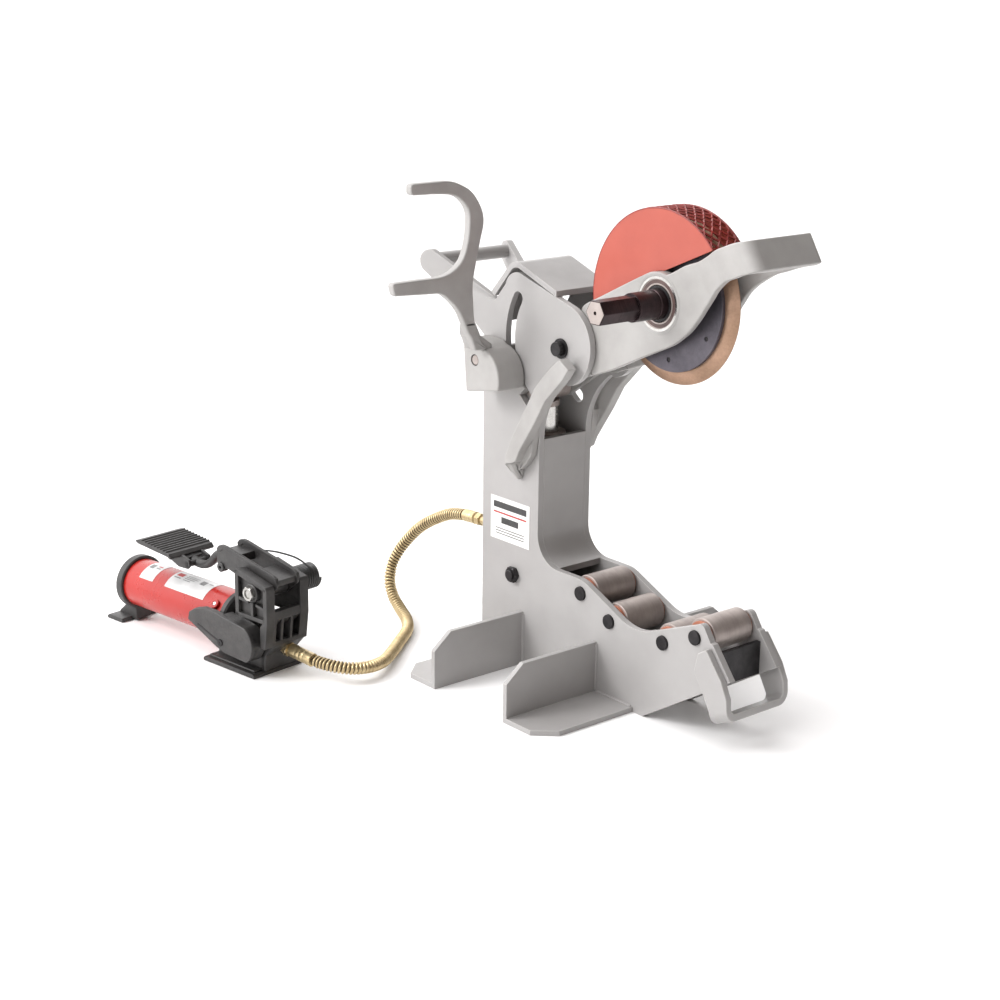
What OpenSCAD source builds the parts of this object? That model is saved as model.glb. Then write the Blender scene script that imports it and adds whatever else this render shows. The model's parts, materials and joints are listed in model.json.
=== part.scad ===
/* [Frame] */
// Front-to-back depth of the column
column_d = 155; // [150:1:160]
// Outer width of the frame over both side plates
frame_w = 123.6; // [122:0.1:126]
// Thickness of the side plates and of the column's front plate
plate_t = 12.7; // [12:0.1:13.5]
// Height of the column's front plate
front_plate_h = 431.6; // [420:0.1:440]
/* [Rollers] */
// Distance of the V's centre line from the rear of the column
v_x = 412.6; // [408:0.1:416]
// Radius of a pipe roller
roller_r = 29.5; // [28:0.1:31]
// Radius of a roller axle
axle_r = 12.7; // [12:0.1:13]
/* [Cutter arm] */
// Distance of the arm's pivot from the rear of the column
pivot_x = 208.5; // [206:0.1:211]
// Height of the arm's pivot
pivot_z = 605.6; // [603:0.1:608]
// Thickness of each arm cheek
cheek_t = 12.3; // [11.5:0.1:12.3]
/* [Cutter wheel] */
// Distance of the wheel's axis from the rear of the column
wheel_x = 423.8; // [421:0.1:426]
// Height of the wheel's axis with the arm raised
wheel_z = 713.2; // [711:0.1:716]
// Radius of the cutting edge
wheel_r = 139; // [130:0.5:139]
// Width across the flats of the drive shaft's hex end
hex_af = 38; // [30:0.5:40]
/* [Foot pump] */
// Radius of the oil reservoir tube
tube_r = 46; // [42:0.5:47]
// Turn of the pump about the vertical, away from the frame's length
pump_turn = 8; // [0:1:12]
/* [Hose] */
// Radius of the hose with its spring guard
hose_r = 11.5; // [9:0.5:12]

/* [Hidden] */

$fn = 64;
paint = [0.79, 0.78, 0.76];
iron = [0.20, 0.19, 0.20];
steel = [0.45, 0.42, 0.41];
bright = [0.80, 0.80, 0.80];
guard_red = [0.90, 0.42, 0.36];
brass_colour = [0.72, 0.62, 0.42];
black = [0.22, 0.22, 0.22];

half_w = frame_w / 2;
inner_w = half_w - plate_t;
run_gap = 0.05;
cover_t = 10;
head_x = 210;
head_z = 612;
head_r = 72;
roof_angle = 72.5;
roof_rear = [100.2, 719.4];
splay = 17;
slot_r = 135.6;
slot_w = 24.4;
slot_from = 149;
slot_to = 236;
pin_angle = 224;
pin_x = pivot_x + slot_r * cos(pin_angle);
pin_z = pivot_z + slot_r * sin(pin_angle);
pin_r = 10;
arm_roller_r = 20;
pivot_r = 12.5;
cheek_out = 47.5;
cheek_in = cheek_out - cheek_t;
bearing_r = 45;
bearing_w = 20;
journal_r = 25;
hub_r = 31;
flange_r = 116;
flange_y = 17.3;
wheel_half = 10;
guard_x = 412;
guard_z = 710.3;
guard_r = 156.6;
guard_half = 34.6;
guard_t = 2;
guard_chord = 46;
arm_tilt = 23.6;
bolt_x = 91.5;
ram_x = 100;
ram_r = 24;
cylinder_r = 37.5;
cylinder_z = [192, 420];
ram_top = pin_z - arm_roller_r - 3.4;
ram_foot_z = 166.4;
cap_t = 10;
port_y = -30;
port_z = 232;
roller_at = [[-140.2, 178.6], [-66, 147.5], [66, 147.5], [140.2, 178.6]];
roller_half = 44;
tube_z = 78;
tube_end = -27;
pump_x = -195;
pump_y = -445;
lever_x = 60;
lever_z = 160;
post_out = 50;
post_in = 30;
lever_half = 28;
hose_sides = 10;
route_step = 4;

// Hose centre line from the frame's fitting to the pump's, by hand
route = [
    [-90, -30, 230], [-135, -30, 221], [-180, -32, 201], [-219, -37, 177], [-250, -44, 147],
    [-269, -55, 117], [-275, -68, 87], [-264, -81, 59], [-243, -88, 36], [-211, -95, 21],
    [-170, -110, 13], [-127, -142, 12], [-83, -194, 13], [-40, -244, 16], [-4, -290, 21],
    [12, -332, 26], [6, -368, 30], [-18, -394, 34], [-52, -408, 37]
];

// ---- shared shapes ----

// Points of an arc about [x, z], from angle a to angle b
function arc(x, z, r, a, b, n = 12) = [for (i = [0:n]) [x + r * cos(a + (b - a) * i / n),
                                                       z + r * sin(a + (b - a) * i / n)]];

// The origin is under the middle of the column; frame sizes run from the column's rear edge
module from_rear() {
    translate([-column_d / 2, 0, 0]) children();
}

// Extrudes an XZ outline across Y from y0 to y1
module across(y0, y1) {
    translate([0, y1, 0]) rotate([90, 0, 0]) linear_extrude(y1 - y0) children();
}

// Round bar along Y from y0 to y1 at x, z
module bar(x, z, r, y0, y1) {
    translate([x, y1, z]) rotate([90, 0, 0]) cylinder(r = r, h = y1 - y0);
}

// Round bar along X from x0 to x1 at y, z
module bar_x(y, z, r, x0, x1) {
    translate([x0, y, z]) rotate([0, 90, 0]) cylinder(r = r, h = x1 - x0);
}

// Hexagonal bar along Y, across flats af
module hex_bar(x, z, af, y0, y1) {
    translate([x, y1, z]) rotate([90, 0, 0]) cylinder(r = af / sqrt(3), h = y1 - y0, $fn = 6);
}

// Hexagonal bar along X, across flats af
module hex_bar_x(y, z, af, x0, x1) {
    translate([x0, y, z]) rotate([0, 90, 0]) cylinder(r = af / sqrt(3), h = x1 - x0, $fn = 6);
}

// Copies children to the far side of the frame
module mirrored() {
    mirror([0, 1, 0]) children();
}

// ---- frame ----

plate_outline = concat(
    [[0, 0], [435, 0], [635, 124.5], [593.3, 177.6], [588, 178.5]],
    arc(564, 193, 12, 27, 100, 5),
    [[548, 198.5], [450, 159.5]],
    arc(413, 242, 90, 294, 247, 6),
    arc(262, 132, 72, 62, 90, 5),
    arc(210, 259, 55, 270, 180),
    arc(288.5, 432, 133.5, 180, 122),
    arc(head_x, head_z, head_r, -76, roof_angle, 24),
    arc(90, 688, 33, 72, 165, 8),
    [[43, 679.5], [33, 667], [28, 664], [0, 664]]
);
arm_outline = concat(
    [[24, 665]],
    arc(-120, 717, 22, 72, 236, 10),
    [[-40, 636], [0, 596], [24, 596]]
);
slot_outline = concat(
    arc(pivot_x, pivot_z, slot_r + slot_w / 2, slot_from, slot_to, 20),
    arc(pivot_x, pivot_z, slot_r - slot_w / 2, slot_to, slot_from, 20)
);

module slot_cut(y0, y1) {
    across(y0, y1) polygon(slot_outline);
    for (a = [slot_from, slot_to])
        bar(pivot_x + slot_r * cos(a), pivot_z + slot_r * sin(a), slot_w / 2, y0, y1);
}

// One side plate: the column, the V, the head with its curved slot, and the splayed handle arm
module side_plate() {
    difference() {
        union() {
            across(-half_w, -inner_w) polygon(plate_outline);
            translate([0, -half_w, 0]) rotate([0, 0, splay]) across(0, plate_t) polygon(arm_outline);
        }
        for (p = roller_at) bar(v_x + p[0], p[1], axle_r, -half_w - 1, -inner_w + 1);
        bar(pivot_x, pivot_z, pivot_r, -half_w - 1, -inner_w + 1);
        bar(bolt_x, ram_foot_z, pin_r, -half_w - 1, -inner_w + 1);
        slot_cut(-half_w - 1, -inner_w + 1);
    }
}

module near_side_plate() {
    color(paint) from_rear() side_plate();
}

module far_side_plate() {
    color(paint) from_rear() mirrored() side_plate();
}

// Closes the front of the column and follows the fillet down into the roller bed
module front_plate() {
    outline = concat(
        [[column_d, front_plate_h]],
        arc(210, 259, 55, 180, 262, 10),
        arc(210, 259, 55 + plate_t, 262, 180, 10),
        [[column_d - plate_t, front_plate_h]]
    );
    color(paint) from_rear() across(-inner_w, inner_w) polygon(outline);
}

module rear_plate() {
    rear_plate_t = 9.5;
    rear_plate_h = 560;
    color(paint) from_rear() difference() {
        translate([0, -inner_w, plate_t]) cube([rear_plate_t, 2 * inner_w, rear_plate_h]);
        bar_x(port_y, port_z, 12, -1, rear_plate_t + 1);
    }
}

module bottom_plate() {
    color(paint) from_rear() translate([0, -inner_w, 0]) cube([430, 2 * inner_w, plate_t]);
}

// Closes the outer end of the roller bed
module end_plate() {
    color(iron) from_rear() translate([588, -inner_w, 102]) cube([9.5, 2 * inner_w, 58]);
}

// Bent plate lying across both plates' roof edges, with a narrow leg down between them at the rear
module top_cover() {
    bend = [88, 708];
    bend_r = 31;
    leg_z = 622;
    leg_half = inner_w - 7.5;
    outline = concat(
        [[193, 692.2], [193, 702.5]],
        arc(bend[0], bend[1], bend_r, 73, 145, 8),
        [[18, 677], [28, 671]],
        arc(bend[0], bend[1], bend_r - cover_t, 145, 73, 8),
        [[190, 693]]
    );
    color(paint) from_rear() {
        across(-half_w, half_w) polygon(outline);
        across(-leg_half, leg_half) polygon([[18, leg_z], [28, leg_z], [28, 674], [23, 677], [18, 677]]);
    }
}

module rear_handle_bar() {
    reach = 120 * sin(splay) + half_w - plate_t / cos(splay);
    color(paint) from_rear() bar(-120 * cos(splay) + 2, 720, 12.5, -reach + 3.8, reach - 3.8);
}

// U-shaped flat bar welded outside both plates along the sloping end
module front_handle() {
    bar_t = 12.7;
    lean = 23.4;
    leg = 115;
    reach = 90;
    bend_r = 22;
    outer = half_w + bar_t + 0.1;
    leg_outline = [
        [590, 171], [597, 163], [626, 127], [640, 98], [643, 58], [606, 42],
        [602, 66], [587, 92], [564, 126], [572, 160]
    ];
    color(paint) from_rear() difference() {
        intersection() {
            across(-outer, outer) polygon(leg_outline);
            translate([597.3, 0, 163.6]) rotate([0, 90 - lean, 0]) translate([0, 0, -reach]) {
                translate([-reach, -outer, 0]) cube([leg - bend_r + reach, 2 * outer, 2 * reach]);
                translate([-reach, bend_r - outer, 0])
                    cube([leg + reach, 2 * (outer - bend_r), 2 * reach]);
                for (s = [-1, 1])
                    translate([leg - bend_r, s * (outer - bend_r), 0]) cylinder(r = bend_r, h = 2 * reach);
            }
        }
        translate([597.3, 0, 163.6]) rotate([0, 90 - lean, 0]) translate([0, 0, -reach]) {
            translate([-reach, bar_t - outer, 0])
                cube([leg - bend_r + reach, 2 * (outer - bar_t), 2 * reach]);
            translate([-reach, bend_r - outer, 0])
                cube([leg - bar_t + reach, 2 * (outer - bend_r), 2 * reach]);
            for (s = [-1, 1])
                translate([leg - bend_r, s * (outer - bend_r), 0])
                    cylinder(r = bend_r - bar_t, h = 2 * reach);
        }
    }
}

// One angle-iron foot standing out from the near plate; turn 1 puts its base ahead of the flange
module foot(x, turn) {
    leg = 101.6;
    t = 9.5;
    base_w = 103.8;
    length = 205;
    cut = 37;
    tip = -half_w - length;
    translate([x, 0, 0]) mirror([turn < 0 ? 1 : 0, 0, 0]) {
        rotate([90, 0, 90]) linear_extrude(t)
            polygon([[-half_w, 0], [-half_w, leg], [tip + cut, leg], [tip, leg - 30], [tip, 0]]);
        linear_extrude(t)
            polygon([[t, -half_w], [base_w, -half_w], [base_w, tip + cut], [base_w - 33, tip], [t, tip]]);
    }
}

module feet() {
    foot(118.8, -1);
    foot(307.2, 1);
}

module near_feet() {
    color(paint) from_rear() feet();
}

module far_feet() {
    color(paint) from_rear() mirrored() feet();
}

// Cast lug beside the neck: a bar standing clear of the plate, a web under it and a tapered tip
module lug() {
    out = 95;
    under = 75;
    across(-out, -under) polygon([
        [240, 596], [208, 568], [177, 534], [163, 510], [144, 477], [118, 435], [102, 400], [101, 382],
        [118, 386], [130, 393], [139, 412], [179, 471], [206, 516], [250, 561], [264, 581]
    ]);
    across(-under - 1, -half_w) polygon([
        [118, 435], [103, 400], [103, 380], [120, 372], [134, 384], [150, 405], [153, 427], [162, 470],
        [144, 477]
    ]);
    hull() {
        across(-out, -half_w) polygon([[103, 399], [102, 383], [117, 387], [124, 396]]);
        across(-half_w - 8, -half_w) polygon([[103, 354], [109, 350], [114, 356], [110, 364]]);
    }
}

module near_lug() {
    color(paint) from_rear() lug();
}

module far_lug() {
    color(paint) from_rear() mirrored() lug();
}

module label_plate() {
    label_t = 0.6;
    color("white") from_rear() translate([24.5, -half_w - label_t, 222.8]) cube([108.1, label_t, 81]);
}

// ---- rollers ----

module roller_axles() {
    head = 4;
    tail = 8;
    color(iron) from_rear() for (p = roller_at) {
        bar(v_x + p[0], p[1], axle_r, -half_w - head, half_w + tail);
        bar(v_x + p[0], p[1], axle_r + 2.5, half_w, half_w + 3);
    }
}

module roller(i) {
    bush_r = 17;
    p = roller_at[i];
    color(steel) from_rear() difference() {
        bar(v_x + p[0], p[1], roller_r, -roller_half, roller_half);
        bar(v_x + p[0], p[1], bush_r, -roller_half - 1, roller_half + 1);
    }
}

module roller_bushes(i) {
    bush_r = 17;
    flange = 25;
    end = inner_w - 0.4;
    p = roller_at[i];
    color("indianred") from_rear() for (s = [-1, 1]) difference() {
        union() {
            bar(v_x + p[0], p[1], bush_r, min(s * 20, s * end), max(s * 20, s * end));
            bar(v_x + p[0], p[1], flange, min(s * roller_half, s * end), max(s * roller_half, s * end));
        }
        bar(v_x + p[0], p[1], axle_r + run_gap, -half_w, half_w);
    }
}

module roller_1() { roller(0); }
module roller_2() { roller(1); }
module roller_3() { roller(2); }
module roller_4() { roller(3); }
module roller_bushes_1() { roller_bushes(0); }
module roller_bushes_2() { roller_bushes(1); }
module roller_bushes_3() { roller_bushes(2); }
module roller_bushes_4() { roller_bushes(3); }

// ---- arm ----

module pivot_shaft() {
    color(iron) from_rear() bar(pivot_x, pivot_z, pivot_r, -76, 76);
}

module pivot_rings() {
    ring_t = 3;
    color(bright) from_rear() for (y = [-half_w - ring_t, half_w]) difference() {
        bar(pivot_x, pivot_z, 17.5, y, y + ring_t);
        bar(pivot_x, pivot_z, pivot_r, y - 1, y + ring_t + 1);
    }
}

cheek_outline = concat(
    [[270, 566.5], [320, 586], [383, 616], [453, 648], [478, 664.5], [500, 684], [520, 710], [532, 726]],
    [[532, 804], [511, 793], [479, 782], [454, 769]],
    arc(wheel_x, wheel_z, 49, 62, 112, 6),
    [[243, 684], [239, 674], [228, 667], [206, 661]],
    arc(pivot_x, pivot_z, 55, 100, 165, 6),
    [[76, 548]],
    arc(pin_x, pin_z, 20, 160, 300, 8),
    [[200, 547], [245, 557]]
);
flare_outline = [
    [516, 708], [533, 730], [554, 752], [584, 774], [628, 790], [667, 801],
    [660, 813], [641, 843.5], [634, 846], [585, 831], [557, 822], [533, 805], [516, 796]
];
flare = 12;
flare_x = 520;

module cheek() {
    across(-cheek_out, -cheek_in) polygon(cheek_outline);
    bar(wheel_x, wheel_z, 52, -cheek_out, -cheek_out + bearing_w + 1);
    translate([flare_x, -cheek_out, 0]) rotate([0, 0, -flare]) translate([-flare_x, 0, 0])
        across(0, cheek_t) polygon(flare_outline);
}

// The arm casting: two cheeks joined by the pivot hub, a web and the handle
module cutter_arm() {
    grip = [[641, 844], [667.5, 801.5], [656, 794.5], [629.5, 837]];
    grip_half = 74;
    hub = 28;
    color(paint) from_rear() difference() {
        union() {
            cheek();
            mirrored() cheek();
            across(-grip_half, grip_half) polygon(grip);
            bar(pivot_x, pivot_z, hub, -cheek_in - 1, cheek_in + 1);
            across(-cheek_in - 1, cheek_in + 1)
                polygon([[232, 575], [244, 575], [252, 640], [240, 652], [226, 640]]);
        }
        bar(pivot_x, pivot_z, 17, -cheek_out - 1, cheek_out + 1);
        bar(wheel_x, wheel_z, bearing_r, -cheek_out - 1, -cheek_out + bearing_w + 2);
        bar(wheel_x, wheel_z, bearing_r, cheek_out - bearing_w - 2, cheek_out + 1);
        bar(pin_x, pin_z, pin_r, -cheek_out - 1, cheek_out + 1);
    }
}

module arm_bushes() {
    color("indianred") from_rear() for (s = [-1, 1]) difference() {
        bar(pivot_x, pivot_z, 17, min(s * 12, s * (inner_w - 0.4)), max(s * 12, s * (inner_w - 0.4)));
        bar(pivot_x, pivot_z, pivot_r + run_gap, -half_w, half_w);
    }
}

module arm_pin() {
    color(steel) from_rear() bar(pin_x, pin_z, pin_r, -cheek_out, cheek_out);
}

module arm_roller() {
    color(steel) from_rear() difference() {
        bar(pin_x, pin_z, arm_roller_r, -cheek_in + 1, cheek_in - 1);
        bar(pin_x, pin_z, pin_r + run_gap, -cheek_in, cheek_in);
    }
}

module shaft_bearings() {
    color(steel) from_rear() for (s = [-1, 1]) difference() {
        bar(wheel_x, wheel_z, bearing_r, s > 0 ? 26 : -46, s > 0 ? 46 : -26);
        bar(wheel_x, wheel_z, journal_r, -half_w, half_w);
    }
}

module bearing_rings() {
    color(bright) from_rear() for (s = [-1, 1]) difference() {
        bar(wheel_x, wheel_z, bearing_r, s > 0 ? 46 : -cheek_out, s > 0 ? cheek_out : -46);
        bar(wheel_x, wheel_z, 41, -half_w, half_w);
    }
}

// Everything above the guard's chord
module above_chord(reach) {
    translate([guard_x, 0, guard_z]) rotate([0, -arm_tilt, 0])
        translate([-reach, -reach, guard_chord]) cube([2 * reach, 2 * reach, reach]);
}

module guard_sides() {
    reach = 200;
    color(guard_red) from_rear() for (s = [-1, 1]) {
        y0 = s > 0 ? guard_half - guard_t : -guard_half;
        difference() {
            union() {
                intersection() {
                    bar(guard_x, guard_z, guard_r - guard_t - 0.1, y0, y0 + guard_t);
                    above_chord(reach);
                }
                across(y0, y0 + guard_t) polygon([[290, 690], [372, 731], [362, 752], [280, 712]]);
            }
            bar(wheel_x, wheel_z, 52.6, y0 - 1, y0 + guard_t + 1);
        }
    }
}

module guard_band() {
    reach = 200;
    color(guard_red) from_rear() intersection() {
        difference() {
            bar(guard_x, guard_z, guard_r, -guard_half, guard_half);
            bar(guard_x, guard_z, guard_r - guard_t, -guard_half - 1, guard_half + 1);
        }
        above_chord(reach);
    }
}

hook_x = 64;
hook_t = 16;

// Torque bracket: a boss that passes through the slot, a stem, and an open hook for the drive's handle
module torque_bracket() {
    hook_outline = concat(
        [[-118, 596], [-136, 612], [-147, 640], [-152, 676], [-153, 712], [-146, 746], [-137, 782]],
        arc(-192, 826, 63, -14, 88, 10),
        [[-286, 889], [-284, 869]],
        arc(-194, 830, 34, 90, -18, 8),
        [[-168, 778], [-178, 752], [-196, 734], [-222, 727], [-326, 726], [-321, 704], [-232, 700]],
        [[-206, 687], [-180, 658], [-160, 624], [-150, 600]]
    );
    boss_outline = concat(
        [[25, 505], [112, 520]],
        arc(60, 536, 56, -14, 80, 8),
        [[56, 598], [16, 600]]
    );
    neck_outline = concat(
        arc(pivot_x, pivot_z, slot_r - 10, 206, 224, 5),
        arc(pivot_x, pivot_z, slot_r + 10, 224, 206, 5)
    );
    color(paint) from_rear() difference() {
        union() {
            translate([hook_x, 0, 0]) rotate([90, 0, 90]) linear_extrude(hook_t) polygon(hook_outline);
            across(-124, -64) polygon(boss_outline);
            across(-65, -cheek_out) polygon(neck_outline);
            stem_joint([46, -153, 612], [32, 20, 4], [20, -124, 584], [54, 20, 13]);
            stem_joint([hook_x, -169, 636], [hook_t, 22, 6], [46, -153, 612], [32, 20, 4]);
        }
        bar(50, 566, 9, -130, -110);
    }
}

// Tapered block between two boxes, each given by its corner and size
module stem_joint(a, size_a, b, size_b) {
    hull() {
        translate(a) cube(size_a);
        translate(b) cube(size_b);
    }
}

module bracket_bolt() {
    color(steel) from_rear() bar(50, 566, 9, -122.5, -110);
}

// ---- drive shaft and wheel ----

module drive_shaft() {
    hex_end = -184;
    hex_start = -107;
    color(iron) from_rear() difference() {
        union() {
            hex_bar(wheel_x, wheel_z, hex_af, hex_end, hex_start);
            bar(wheel_x, wheel_z, 24, hex_start, -60);
            bar(wheel_x, wheel_z, journal_r - 0.05, -60, 56);
            bar(wheel_x, wheel_z, hub_r - 0.05, -25.9, 25.9);
        }
        bar(wheel_x, wheel_z, 3, hex_end - 1, hex_end + 15);
    }
}

module cutter_wheel() {
    rim = wheel_r - 21;
    color([0.80, 0.62, 0.48]) from_rear() translate([wheel_x, 0, wheel_z]) rotate([90, 0, 0])
        rotate_extrude() polygon([
            [hub_r, -wheel_half], [rim, -wheel_half], [wheel_r - 9, -6], [wheel_r, -0.8],
            [wheel_r, 0.8], [wheel_r - 9, 6], [rim, wheel_half], [hub_r, wheel_half]
        ]);
}

screw_ring_r = 96;
screw_count = 6;

module flange_screw_bars(r, grow) {
    for (i = [0:screw_count - 1]) {
        a = -30 + i * 360 / screw_count;
        bar(wheel_x + screw_ring_r * cos(a), wheel_z + screw_ring_r * sin(a), r,
            -flange_y - grow, flange_y + grow);
    }
}

module wheel_flanges() {
    color([0.38, 0.36, 0.40]) from_rear() difference() {
        bar(wheel_x, wheel_z, flange_r, -flange_y, flange_y);
        bar(wheel_x, wheel_z, flange_r + 1, -wheel_half, wheel_half);
        bar(wheel_x, wheel_z, hub_r, -flange_y - 1, flange_y + 1);
        flange_screw_bars(4, 1);
    }
}

module flange_screws() {
    color(iron) from_rear() difference() {
        flange_screw_bars(4, -1.5);
        bar(wheel_x, wheel_z, flange_r + 1, -wheel_half, wheel_half);
    }
}

// ---- hydraulic ram ----

piston_r = 31.9;

module ram_cylinder() {
    floor_t = 22;
    color(black) from_rear() difference() {
        union() {
            translate([ram_x, 0, cylinder_z[0]]) cylinder(r = cylinder_r, h = cylinder_z[1] - cylinder_z[0]);
            translate([bolt_x - 24, -30, ram_foot_z - 22]) cube([60, 60, cylinder_z[0] - ram_foot_z + 24]);
        }
        translate([ram_x, 0, cylinder_z[0] + floor_t]) cylinder(r = piston_r + 0.1, h = cylinder_z[1]);
        bar(bolt_x, ram_foot_z, pin_r, -half_w, half_w);
        bar_x(port_y, port_z, 8, 9.5, ram_x);
    }
}

module ram_gland() {
    color(steel) from_rear() translate([ram_x, 0, cylinder_z[1]]) difference() {
        cylinder(r = cylinder_r, h = 10);
        translate([0, 0, -1]) cylinder(r = ram_r + run_gap, h = 12);
    }
}

module cylinder_bolt() {
    nut_t = 10;
    color(iron) from_rear() {
        bar(bolt_x, ram_foot_z, pin_r, -half_w - nut_t - 4, half_w + nut_t + 4);
        for (y = [-half_w - nut_t, half_w]) difference() {
            hex_bar(bolt_x, ram_foot_z, 27, y, y + nut_t);
            bar(bolt_x, ram_foot_z, pin_r, y - 1, y + nut_t + 1);
        }
    }
}

// Threaded port adaptor from the cylinder wall out through the rear plate
module ram_port() {
    color(brass_colour) from_rear() {
        bar_x(port_y, port_z, 8, -40, 66);
        difference() {
            hex_bar_x(port_y, port_z, 24, -18, 0);
            bar_x(port_y, port_z, 8, -19, 1);
        }
    }
}

module ram_plunger() {
    piston_z = 226;
    piston_h = 40;
    color(bright) from_rear() translate([ram_x, 0, piston_z]) {
        cylinder(r = piston_r, h = piston_h);
        cylinder(r = ram_r, h = ram_top - cap_t - piston_z);
    }
}

// Thrust pad under the arm's roller
module ram_cap() {
    color(steel) from_rear() translate([98, 0, ram_top - cap_t]) cylinder(r = 27, h = cap_t);
}

// ---- foot pump ----

// Puts pump sizes, measured along its own tube, in the part's frame
module pump_at() {
    translate([pump_x - column_d / 2, pump_y, 0]) rotate([0, 0, pump_turn]) children();
}

post_outline = [
    [14, 108], [14, 194], [20, 196], [98, 178], [100, 172], [100, 112], [93, 60], [80, 60], [80, 108]
];

module pump_base() {
    color(black) pump_at() difference() {
        union() {
            translate([-72, -58, 0]) cube([142, 116, 8]);
            translate([-60, -32, 7]) cube([130, 76, 56]);
            translate([-46, -22, 60]) cube([90, 58, 40]);
            bar_x(0, tube_z, tube_r + 5, tube_end - 9, tube_end + 5);
            for (y = [-post_out, post_in]) across(y, y + post_out - post_in) polygon(post_outline);
            across(-post_in - 1, post_in + 1) polygon([[84, 96], [99, 112], [99, 128], [84, 128]]);
            across(-32, 44) polygon([[60, 8], [70, 8], [74, 40], [94, 61], [94, 70], [60, 70]]);
            for (y = [-14, 8]) across(y, y + 6) polygon([[70, 60], [93, 60], [99, 114], [60, 114]]);
            translate([70, 15, 44]) rotate([0, 90, 0]) cylinder(r = 14, h = 6);
        }
        bar_x(0, tube_z, tube_r, -101, tube_end);
        bar(lever_x, lever_z, 8, -post_out - 1, post_out + 1);
        translate([20, 0, 30]) cylinder(r = 9.05, h = 80);
    }
}

module pump_tube() {
    color("crimson") pump_at() bar_x(0, tube_z, tube_r, -330, tube_end);
}

// Low plug screwed into the tube's upper near side
module filler_plug() {
    color("crimson") pump_at() difference() {
        translate([-56, 0, tube_z]) rotate([52, 0, 0]) cylinder(r = 9, h = tube_r + 6);
        bar_x(0, tube_z, tube_r, -76, -36);
    }
}

// Rear ring with the flat foot under it
module pump_end_ring() {
    color(black) pump_at() difference() {
        union() {
            bar_x(0, tube_z, tube_r + 6, -340, -322);
            across(-20, 20) polygon([[-340, 40], [-380, 9], [-380, 0], [-322, 0], [-322, 36]]);
            translate([-386, -42, 0]) cube([48, 84, 9]);
        }
        bar_x(0, tube_z, tube_r, -330, -321);
    }
}

module pump_labels() {
    skin = 0.4;
    color("white") pump_at() for (x = [[-284, -244], [-208, -95]]) intersection() {
        difference() {
            bar_x(0, tube_z, tube_r + skin, x[0], x[1]);
            bar_x(0, tube_z, tube_r, x[0] - 1, x[1] + 1);
        }
        translate([x[0], -tube_r, tube_z + 28]) cube([x[1] - x[0], tube_r + 14, tube_r]);
    }
}

// Twin-flange lever head on the pivot bolt, with the rod that carries the pedal
module pump_lever() {
    flange_t = 7;
    outline = concat(
        [[-60, 184], [-72, 168], [-78, 176], [-66, 212], [-34, 222], [96, 200]],
        arc(lever_x + 32, 184, 16, 80, -60, 6),
        arc(lever_x, lever_z, 18, -45, -135, 6),
        [[10, 166], [-20, 180]]
    );
    rod_line = [[-58, 198], [-84, 190], [-108, 170], [-130, 158], [-158, 154]];
    color(black) pump_at() {
        difference() {
            union() {
                for (y = [-lever_half, lever_half - flange_t]) across(y, y + flange_t) polygon(outline);
                across(-lever_half, lever_half) polygon([[-60, 184], [-60, 210], [-20, 206], [-20, 184]]);
                bar(lever_x, lever_z, 16, -lever_half, lever_half);
                bar(20, 174, 7, -lever_half, lever_half);
            }
            bar(lever_x, lever_z, 8 + run_gap, -lever_half - 1, lever_half + 1);
        }
        for (i = [0:len(rod_line) - 2]) rod_piece(rod_line[i], rod_line[i + 1]);
    }
}

module rod_piece(a, b) {
    rod_r = 8;
    dx = b[0] - a[0];
    dz = b[1] - a[1];
    translate([a[0], 0, a[1]]) {
        sphere(r = rod_r + 0.6);
        rotate([0, atan2(dx, dz), 0]) cylinder(r = rod_r, h = norm([dx, dz]));
    }
}

module pump_pedal() {
    half = 52;
    color(black) pump_at() {
        across(-half, half) polygon([[-270, 184], [-268, 190], [-176, 182], [-170, 170], [-176, 174]]);
        for (i = [0:6]) translate([-262 + i * 12.5, -half, 187 - i * 1.05]) cube([5, 2 * half, 3.5]);
        for (y = [-14, 8]) across(y, y + 6)
            polygon([[-240, 183], [-176, 177], [-146, 166], [-146, 150], [-176, 149], [-205, 158]]);
    }
}

module pump_bolt() {
    color(bright) pump_at() {
        bar(lever_x, lever_z, 8, -post_out - 8, 97);
        hex_bar(lever_x, lever_z, 24, -post_out - 10, -post_out);
    }
}

module pump_piston() {
    color(bright) pump_at() translate([20, 0, 60]) cylinder(r = 9, h = 106);
}

// Side pedal that lets the oil back
module release_pedal() {
    outline = concat(
        [[-104, 74], [-100, 90], [-60, 108], [-10, 104]],
        arc(40, 62, 36, 70, -40, 8),
        [[0, 38], [-24, 44]]
    );
    color(black) pump_at() {
        across(-66, -53) polygon(outline);
        across(-66, -34.5) polygon(concat(
            [[-14, 44], [-14, 104]],
            arc(40, 62, 36, 70, -40, 8),
            [[0, 38]]
        ));
        bar(-12, 52, 9, -36, -33.5);
    }
}

// Torsion spring on the far side of the pivot, as its coils' envelope, with its long leg
module pump_spring() {
    coils = 8;
    pitch = 5.5;
    color(iron) pump_at() {
        for (i = [0:coils - 1]) difference() {
            bar(lever_x, lever_z, i % 2 == 0 ? 25 : 24, post_out + i * pitch, post_out + (i + 1) * pitch);
            bar(lever_x, lever_z, 9, post_out - 1, post_out + coils * pitch + 1);
        }
        translate([lever_x - 2, 74, lever_z + 24]) rotate([0, -72, -28]) cylinder(r = 2.5, h = 62);
    }
}

// ---- hose ----

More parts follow.
